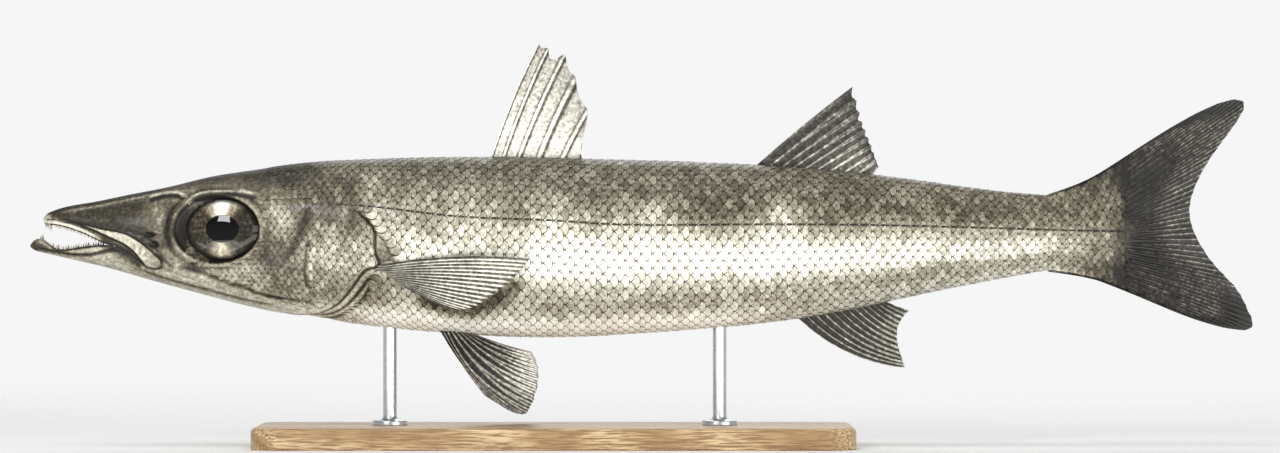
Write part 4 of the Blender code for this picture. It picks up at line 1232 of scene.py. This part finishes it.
for side, end in SIDES:
    make_eye(f"eyeball_{end}", f"eye_{end}", side)

# %% [markdown]
# A fin is a fan of bony rays in a thin membrane. The spines of the first dorsal fin are single and
# stiff, and the rays of the others split into two and then four towards the edge, or in the crowded
# tail only once. Each fin here is a closed plate of two fine grids, thick on the rays and thin between
# them, over the same key rays that the solids have, with its root a little way inside the body.

# %% One way to make every fin
FIN_SINK = 3.0
FIN_ROWS = 56
LAST_STATION = 449.8


def make_fin(name, node, look, keys, rays, bows, notch, thick, tone, side_of=None, steps=16,
             split=1.0, forks=2, width=1.0, fray=0.006, pointed=1.0, bulge=0.0):
    """A fin over key rays of (root station, root height, tip station, tip height)."""
    key_places = np.linspace(0, 1, len(keys))
    curves = [smooth(list(zip(key_places, column))) for column in zip(*keys)]
    columns = (rays - 1) * steps + 1
    t = np.linspace(0, 1, columns)
    nearest = np.round(t * (rays - 1))
    u = t * (rays - 1) - nearest
    root, tip = [np.stack([curves[i](t), curves[i + 1](t)], axis=-1) for i in (0, 2)]
    way = tip - root
    long = np.linalg.norm(way, axis=-1)
    forward = np.stack([-way[:, 1], way[:, 0]], axis=-1)
    bow = np.interp(t, np.linspace(0, 1, len(bows)), bows)

    wear = random.uniform(0.0, 1.0, rays)[nearest.astype(int)]
    between = (t * (rays - 1)).astype(int)
    gap = random.uniform(0.7, 1.3, rays)[between]
    tips = 0.5 + 0.5 * np.cos(2 * math.pi * np.abs(u) ** pointed * 0.5 ** (1 - pointed))
    depth = np.broadcast_to(notch, rays - 1)[np.minimum(between, rays - 2)]
    end = 1 - depth * gap * (1 - tips) - fray * wear * (np.abs(u) > 0.02)
    end = end - fray * split * (0.5 - 0.5 * np.cos(8 * math.pi * u))
    start = -FIN_SINK / long
    v = start + (end - start) * np.linspace(0, 1, FIN_ROWS)[:, None]
    above = np.clip(v, 0, 1)

    first = 0.25 * split * soft(above, 0.22, 0.75)
    second = 0.125 * split * (forks - 1) * soft(above, 0.55, 1.0)
    wide = 0.13 - 0.03 * above + split * (0.07 - (0.13 - 0.02 * forks) * soft(above, 0.2, 0.95))
    branches = [a * first + b * second for a in (-1, 1) for b in (-1, 1)]
    ridge = np.max([bell((u - branch) / (wide * width)) for branch in branches], axis=0)
    bend = bow * 4 * above * (1 - above)
    middle = root + way * v[..., None] + forward * bend[..., None]
    station, height = np.minimum(middle[..., 0], LAST_STATION), middle[..., 1]
    side = side_of(station, height) if side_of else 0.0
    half = (thick[0] + (thick[1] - thick[0]) * above) / 2 * (0.30 + 0.70 * ridge)
    half = half * (1 - 0.5 * soft(above, 0.9, 1.0)) + bulge * bell(above / 0.10)
    ripple = 0.18 * np.sin(2.3 * math.pi * t * rays / 4 + 3 * above) * soft(above, 0.3, 1.0)

    points = [place(station, side + ripple + half * face, height) for face in (-1, 1)]
    spots = np.arange(v.size).reshape(v.shape)
    rim = np.concatenate([spots[0], spots[1:, -1], spots[-1, -2::-1], spots[-2:0:-1, 0]])
    after = np.roll(rim, -1)
    band = np.stack([rim, after, after + v.size, rim + v.size], axis=-1)
    faces = np.concatenate([grid_faces(*v.shape), grid_faces(*v.shape, v.size), band])
    dark = tone(above, t + 0 * v, u + 0 * v, ridge)
    traits = {"dark": [dark] * 2, "ray": [ridge] * 2, "reach": [v * long] * 2}
    piece = make_piece(name, points, faces, look, traits, sharp=70, join=1e-8)
    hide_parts(node)


# %% [markdown]
# Fin membrane is skin with next to no flesh, so light comes through it and pigment shows as fine
# stipple. The rays are bone, jointed every millimetre or so towards the edge. One darkness value runs
# from pale bone through clouded membrane to black, and a second material for the first dorsal and
# pectoral fins lets more light through.

# %% Fin finishes
FIN_STOPS = [(0.0, "#E8E6DC"), (0.22, "#D0CEC3"), (0.45, "#918D80"), (0.70, "#45413A"), (1.0, "#12100D")]
JOINT_SPACING = 1.3


def fin_look(name, through):
    """A wet membrane with jointed rays, which lets some light through."""
    look, shader = new_look(name)
    dark, speck = pigment(look, position(look), 0.90, 0.30, 3.0)
    joint = calc(look, "MULTIPLY", trait(look, "reach"), 2 * math.pi / JOINT_SPACING)
    joint = calc(look, "MULTIPLY", calc(look, "SINE", joint), trait(look, "ray"))
    plug(shader, {
        "Base Color": ramp(look, dark, FIN_STOPS), "Roughness": 0.42, "IOR": WATER_IOR,
        "Normal": bump(look, calc(look, "MULTIPLY_ADD", joint, 0.35, speck), 0.4, 0.0002),
        "Subsurface Weight": through, "Subsurface Radius": (1.0, 1.0, 1.0), "Subsurface Scale": 0.002,
    })
    wet(shader, 0.15, 0.15)
    return look


clear_fin_look = fin_look("clear_fin_membrane", 0.5)
dark_fin_look = fin_look("dark_fin_membrane", 0.1)

# %% [markdown]
# Each fin's tones follow the drawing: a pale, faintly clouded first dorsal with a dark line behind
# each spine, dusky second dorsal and anal fins with paler rays, dark pelvics with pale tips, a clear
# pectoral with fine dark lines, and a tail that is nearly black at its base and tips.

# %% The fins
FIRST_DORSAL = [
    (169.8, 28, 187.2, 69.3), (174.3, 28, 190.7, 67.9), (180, 28, 196.8, 65.6), (187.3, 28, 200.8, 57),
    (196.1, 27.8, 205.2, 44.8), (203.4, 27.6, 203, 35),
]
SECOND_DORSAL = [
    (267.6, 25, 302.6, 53.6), (275.5, 24.8, 304.8, 46), (282, 24.4, 306.3, 40.4),
    (288.5, 23.8, 308, 36), (295.5, 23.1, 309.6, 31.8), (303, 22.3, 311, 27.6),
    (310.4, 21.5, 312.2, 24),
]
ANAL = [
    (283, -32, 322.3, -50), (293.5, -30.2, 321, -46), (302.5, -28.5, 319.3, -39.6),
    (310, -27, 319.9, -33.6), (315.9, -25.9, 323.6, -28.7),
]
TAIL = [
    (373, 12.4, 374.6, 14), (376.5, 12.2, 388.5, 19.2), (380, 12, 402.5, 27.6),
    (384, 11.2, 422.5, 40.2), (387, 10.4, 440, 48.4), (390, 9, 447, 46.8), (392.5, 6.6, 441.8, 37.4),
    (394, 4, 434, 26.6), (394.6, 1.4, 428.2, 15.2), (394.8, -0.6, 426.8, 6.6), (394.6, -2.6, 429.4, -2),
    (394, -5, 436.2, -12.2), (392.5, -7.4, 444, -20.6), (390, -9.4, 448.4, -28.6),
    (387, -10.8, 449, -35.8), (383.5, -11.8, 432.5, -33.4), (380, -12.4, 412, -25.4),
    (376.5, -12.8, 393.5, -18), (373, -12.8, 374.8, -14.6),
]
PECTORAL = [
    (131, -11.7, 184.9, -9.6), (133.2, -13.8, 181.6, -13.8), (135.4, -15.8, 176.4, -18.8),
    (137.6, -18, 169.6, -23.6), (139.6, -20, 163.6, -27.4), (141.7, -21.7, 157.6, -28.7),
]
PELVIC = [
    (150.8, -36, 167.8, -59.9), (153.2, -36.5, 181, -66.6), (156, -36.9, 185.6, -61),
    (158.9, -37.2, 187, -54.2), (161.6, -37.6, 186.6, -48.8), (164.2, -37.8, 184.6, -44.2),
]
PECTORAL_START, PECTORAL_SPREAD, PECTORAL_LEAN = 20.6, math.radians(14), math.radians(20)
PELVIC_START, PELVIC_SPREAD = 5.0, math.radians(28)


# A tone is a darkness: v runs out along the rays, t from the first ray to the last, u is the way
# from the nearest ray to halfway to the next, and ridge is 1 on a ray's branches.
def spine_tone(v, t, u, ridge):
    lines = 0.60 * bell((u - 0.15) / 0.055) + 0.35 * bell((u + 0.13) / 0.045)
    return 0.30 + 0.26 * soft(v, 0.15, 1.0) - 0.24 * ridge + lines + 0.15 * soft(v, 0.93, 1)


def dusky_tone(v, t, u, ridge):
    clear = 0.22 * soft(t, 0.2, 0.8) * (1 - soft(v, 0.5, 0.95))
    return 0.94 - 0.46 * ridge * (1 - 0.3 * v) * soft(t, -0.3, 0.2) + 0.12 * soft(v, 0.8, 1.0) - clear


def anal_tone(v, t, u, ridge):
    return 1.02 - 0.66 * ridge * (0.8 + 0.2 * v) - 0.06 * soft(v, 0.85, 1.0)


def pelvic_tone(v, t, u, ridge):
    return 1.04 - 0.60 * ridge - 0.34 * soft(v, 0.45, 1.0) * soft(t, 0.2, 0.6)


def pectoral_tone(v, t, u, ridge):
    edges = 0.45 * (1 - soft(t, 0.0, 0.04)) + 0.40 * soft(t, 0.90, 1.0) + 0.35 * soft(v, 0.95, 1.0)
    return 0.72 - 0.60 * ridge + 0.04 * (1 - soft(v, 0.05, 0.35)) + edges


def tail_tone(v, t, u, ridge):
    outward = np.abs(t - 0.48)
    lobe = soft(outward, 0.18, 0.27) * soft(v, 0.75, 0.95)
    root = bell((v - 0.42) / 0.16) * (1 - soft(outward, 0.15, 0.3))
    fine = (0.24 + 0.24 * soft(v, 0.45, 0.8)) * ridge
    fine = fine * (1 - 0.8 * lobe) * (1 - 0.5 * soft(outward, 0.30, 0.42))
    start = 0.30 * (1 - soft(np.minimum(t, 1 - t), 0.0, 0.06))
    return 1.02 - fine + 0.25 * lobe + 0.2 * root - start


def pectoral_side(side):
    """How far out a pectoral fin is: it spreads from the body and leans in below."""
    def at(station, height):
        out = PECTORAL_START + (station - PECTORAL[0][0]) * math.tan(PECTORAL_SPREAD)
        return side * (out - (PECTORAL[0][1] - height) * math.tan(PECTORAL_LEAN))

    return at


def pelvic_side(side):
    """How far out a pelvic fin is: it spreads downwards."""
    return lambda station, height: side * (
        PELVIC_START + (PELVIC[0][1] - height) * math.tan(PELVIC_SPREAD))


make_fin("dorsal_spines", "first_dorsal_fin", clear_fin_look, FIRST_DORSAL, 6,
         (0.020, 0.010), (0.015, 0.09, 0.06, 0.09, 0.06), (1.5, 0.5), spine_tone, split=0.0,
         width=0.62, pointed=0.7)
make_fin("soft_dorsal", "second_dorsal_fin", dark_fin_look, SECOND_DORSAL, 10,
         (0.01, 0.0), 0.03, (1.3, 0.4), dusky_tone, split=0.5, width=0.8)
make_fin("anal_rays", "anal_fin", dark_fin_look, ANAL, 14,
         (-0.085, -0.02), 0.012, (1.3, 0.4), anal_tone, split=0.5)
make_fin("forked_tail", "tail_fin", dark_fin_look, TAIL, 39, (0.0, 0.0), 0.004,
         (2.0, 0.5), tail_tone, steps=12, forks=1, fray=0.004)
for side, end in SIDES:
    make_fin(f"pectoral_{end}", f"pectoral_fin_{end}", clear_fin_look, PECTORAL, 17,
             (0.035, -0.03), 0.008, (1.4, 0.4), pectoral_tone, side_of=pectoral_side(side), steps=12,
             split=0.35, bulge=0.35)
    make_fin(f"pelvic_{end}", f"pelvic_fin_{end}", dark_fin_look, PELVIC, 9,
             (-0.02, -0.09, -0.07, -0.05, -0.02), 0.010, (1.4, 0.4), pelvic_tone,
             side_of=pelvic_side(side), steps=20)

# %% [markdown]
# The stand is a cabinetmaker's base of oak with its edges rounded over, oiled rather than varnished, so
# the grain stays matt and warm. Oak shows long dark pores along the grain, about 0.3 mm wide and drawn
# twice as wide here to show, and soft growth bands 5 to 10 mm apart.

# %% The oak base
BASE_STATION, BASE_LENGTH, BASE_WIDTH, BASE_THICK = 193.0, 220.0, 92.0, 8.0
BASE_CORNER, BASE_ROUND, BASE_CHAMFER = 12.0, 1.8, 0.4

oak_look, shader = new_look("oiled_oak")
where = position(oak_look)
pore_way, band_way = [
    add_node(oak_look, "Mapping", {"Vector": where, "Scale": scale})
    for scale in ((1.0, 14.0, 14.0), (0.14, 1.0, 1.0))
]
growth = calc(oak_look, "MULTIPLY", noise(oak_look, band_way, 13.0, 1.5), 150.0)
bands = calc(oak_look, "MULTIPLY_ADD", calc(oak_look, "SINE", growth), 0.5, 0.5)
warm = ramp(oak_look, bands, [(0.0, "#A58459"), (0.5, "#BF9F73"), (1.0, "#D2B78C")])
pores = ramp(oak_look, noise(oak_look, pore_way, 110.0, 3.0, 0.6), [(0.40, 0), (0.58, 1)])
plug(shader, {
    "Base Color": mix(oak_look, pores, hex_colour("#86663F"), warm),
    "Normal": bump(oak_look, pores, 0.35, 0.0003),
    "Roughness": 0.42, "Coat Weight": 0.12, "Coat Roughness": 0.3,
})


def rounded_rectangle(length, width, corner_radius, sides=16):
    """Points of a rectangle with round corners, about its middle."""
    points = []
    for quadrant, (x, y) in enumerate(((1, 1), (-1, 1), (-1, -1), (1, -1))):
        turn = math.pi / 2 * (quadrant + np.arange(sides + 1) / sides)
        points.append(np.stack([
            x * (length / 2 - corner_radius) + corner_radius * np.cos(turn),
            y * (width / 2 - corner_radius) + corner_radius * np.sin(turn)], axis=-1))
    return np.concatenate(points)


edge_turn = np.linspace(0, math.pi / 2, 8)
edge_in = [BASE_CHAMFER, 0.0, *BASE_ROUND * (1 - np.cos(edge_turn)), 6.0]
edge_up = [0.0, BASE_CHAMFER, *BASE_THICK - BASE_ROUND + BASE_ROUND * np.sin(edge_turn), BASE_THICK]
base_points = []
for inward, height in zip(edge_in, edge_up):
    x, y = rounded_rectangle(
        BASE_LENGTH - 2 * inward, BASE_WIDTH - 2 * inward, max(BASE_CORNER - inward, 3.0)).T
    base_points.append(place(BASE_STATION + x, y, height - AXIS_HEIGHT))
base = make_piece("stand_oak_base", base_points, lathe_faces(len(edge_in), len(x)), oak_look,
                  {}, sharp=40)
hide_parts("stand_base")

# %% [markdown]
# The rods are turned steel, brushed round with a fine abrasive, each with a small flared foot that
# covers its hole in the wood. Brushing leaves rings a few hundredths of a millimetre apart, drawn
# several times coarser here so that they show at all.

# %% The steel rods
ROD_STATIONS = {"front": 132.4, "back": 253.7}
ROD_SIDES, ROD_RADIUS, ROD_INSIDE, FLARE = 48, 2.5, 1.2, 1.6
FOOT_RADIUS, FOOT_FLOOR, FOOT_TOP = 6.5, 8.0, 9.8

steel_look, shader = new_look("brushed_steel")
rings_way = add_node(steel_look, "Mapping", {"Vector": position(steel_look), "Scale": (0.05, 0.05, 1.0)})
brushed = noise(steel_look, rings_way, 5000.0, 2.0)
plug(shader, {
    "Base Color": ramp(steel_look, brushed, [(0.3, "#AEB2B4"), (0.7, "#C2C5C7")]),
    "Roughness": add_node(steel_look, "MapRange", {"Value": brushed, "To Min": 0.22, "To Max": 0.38}),
    "Normal": bump(steel_look, brushed, 0.25, 0.0001),
    "Metallic": 1.0,
})

turn, sweep = circle(ROD_SIDES), np.linspace(0, math.pi / 2, 7)
for end, station in ROD_STATIONS.items():
    top = AXIS_HEIGHT + float(BELLY(station)) + ROD_INSIDE
    profile = [
        (FOOT_RADIUS - 0.2, FOOT_FLOOR), (FOOT_RADIUS, FOOT_FLOOR + 0.2), (FOOT_RADIUS, FOOT_TOP - 0.5),
        (FOOT_RADIUS - 0.15, FOOT_TOP - 0.15), (FOOT_RADIUS - 0.5, FOOT_TOP),
        *zip(ROD_RADIUS + FLARE * (1 - np.sin(sweep)), FOOT_TOP + FLARE * (1 - np.cos(sweep))),
        *[(ROD_RADIUS, height) for height in np.linspace(FOOT_FLOOR + 6, top, 8)],
    ]
    rod_points = [
        place(station + radius * np.cos(turn), radius * np.sin(turn), height - AXIS_HEIGHT)
        for radius, height in profile
    ]
    rod = make_piece(f"stand_steel_rod_{end}", rod_points, lathe_faces(len(profile), ROD_SIDES),
                     steel_look, {}, sharp=35)
    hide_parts(f"stand_rod_{end}")

# %% [markdown]
# The setting is a plain pale floor under a plain pale sky, with light from large soft lamps. The floor
# is a wide disc that fades out towards its rim, so it meets the background with no line. A silver fish
# shows mostly what it reflects, so the sky is white near the horizon and dimmer above it: the flanks
# pick up the bright horizon, and the back stays dark.

# %% The floor
FLOOR_RADIUS, FLOOR_RINGS, FLOOR_SIDES = 2.0, 40, 96

floor_look, shader = new_look("pale_studio_floor")
fade = ramp(floor_look, trait(floor_look, "away"), [(0.16, 1), (0.60, 0)])
fade.node.color_ramp.interpolation = "EASE"
plug(shader, {
    "Base Color": hex_colour("#E6E6E4"), "Roughness": 0.9, "Specular IOR Level": 0.1, "Alpha": fade})
away, angle = np.meshgrid(
    np.linspace(0, 1, FLOOR_RINGS + 1), np.linspace(0, 2 * math.pi, FLOOR_SIDES + 1), indexing="ij")
floor_points = FLOOR_RADIUS * np.stack([away * np.cos(angle), away * np.sin(angle), 0 * away], axis=-1)
floor = make_object("floor", floor_points, grid_faces(*away.shape)[:, ::-1], floor_look, {"away": away})

# %% The sky and the lamps
world = bpy.data.worlds.new("pale_studio")
bpy.context.scene.world = world
world.use_nodes = True
way = add_node(world, "TexCoord", output="Generated")
rise = add_node(world, "SeparateXYZ", {"Vector": way}, output="Z")
sky = ramp(world, add_node(world, "MapRange", {"Value": rise, "From Min": -1.0}), [
    (0.0, 0.92), (0.535, 0.92), (0.62, (0.46, 0.47, 0.48)), (0.80, (0.40, 0.41, 0.42)),
    (1.0, (0.56, 0.57, 0.58))])
plug(world.node_tree.nodes["Background"], {"Color": sky})


def soft_lamp(name, where, target, size, power):
    """A rectangular area lamp, (width, height) in size, that looks at a target."""
    lamp_data = bpy.data.lights.new(name, "AREA")
    lamp_data.shape = "RECTANGLE"
    lamp_data.size, lamp_data.size_y = size
    lamp_data.energy = power
    lamp = bpy.data.objects.new(name, lamp_data)
    bpy.context.scene.collection.objects.link(lamp)
    lamp.location = where
    lamp.rotation_euler = (Vector(target) - Vector(where)).to_track_quat("-Z", "Y").to_euler()


soft_lamp("flank_lamp", (1.35, -1.55, 0.40), (0.05, 0, 0.08), (1.4, 0.6), 16)
soft_lamp("eye_lamp", (-0.49, -1.02, 0.475), (-0.15, 0, 0.08), (0.19, 0.19), 4.4)
soft_lamp("top_lamp", (-0.4, -0.6, 1.8), (0, 0, 0.08), (1.4, 1.0), 12)
soft_lamp("back_lamp", (0.2, 1.2, 1.0), (0, 0, 0.08), (1.0, 1.0), 8)
soft_lamp("low_lamp", (0, -0.36, 0.002), (0, -0.35, 1.0), (0.8, 0.5), 8.0)
bpy.context.scene.view_settings.view_transform = "Standard"
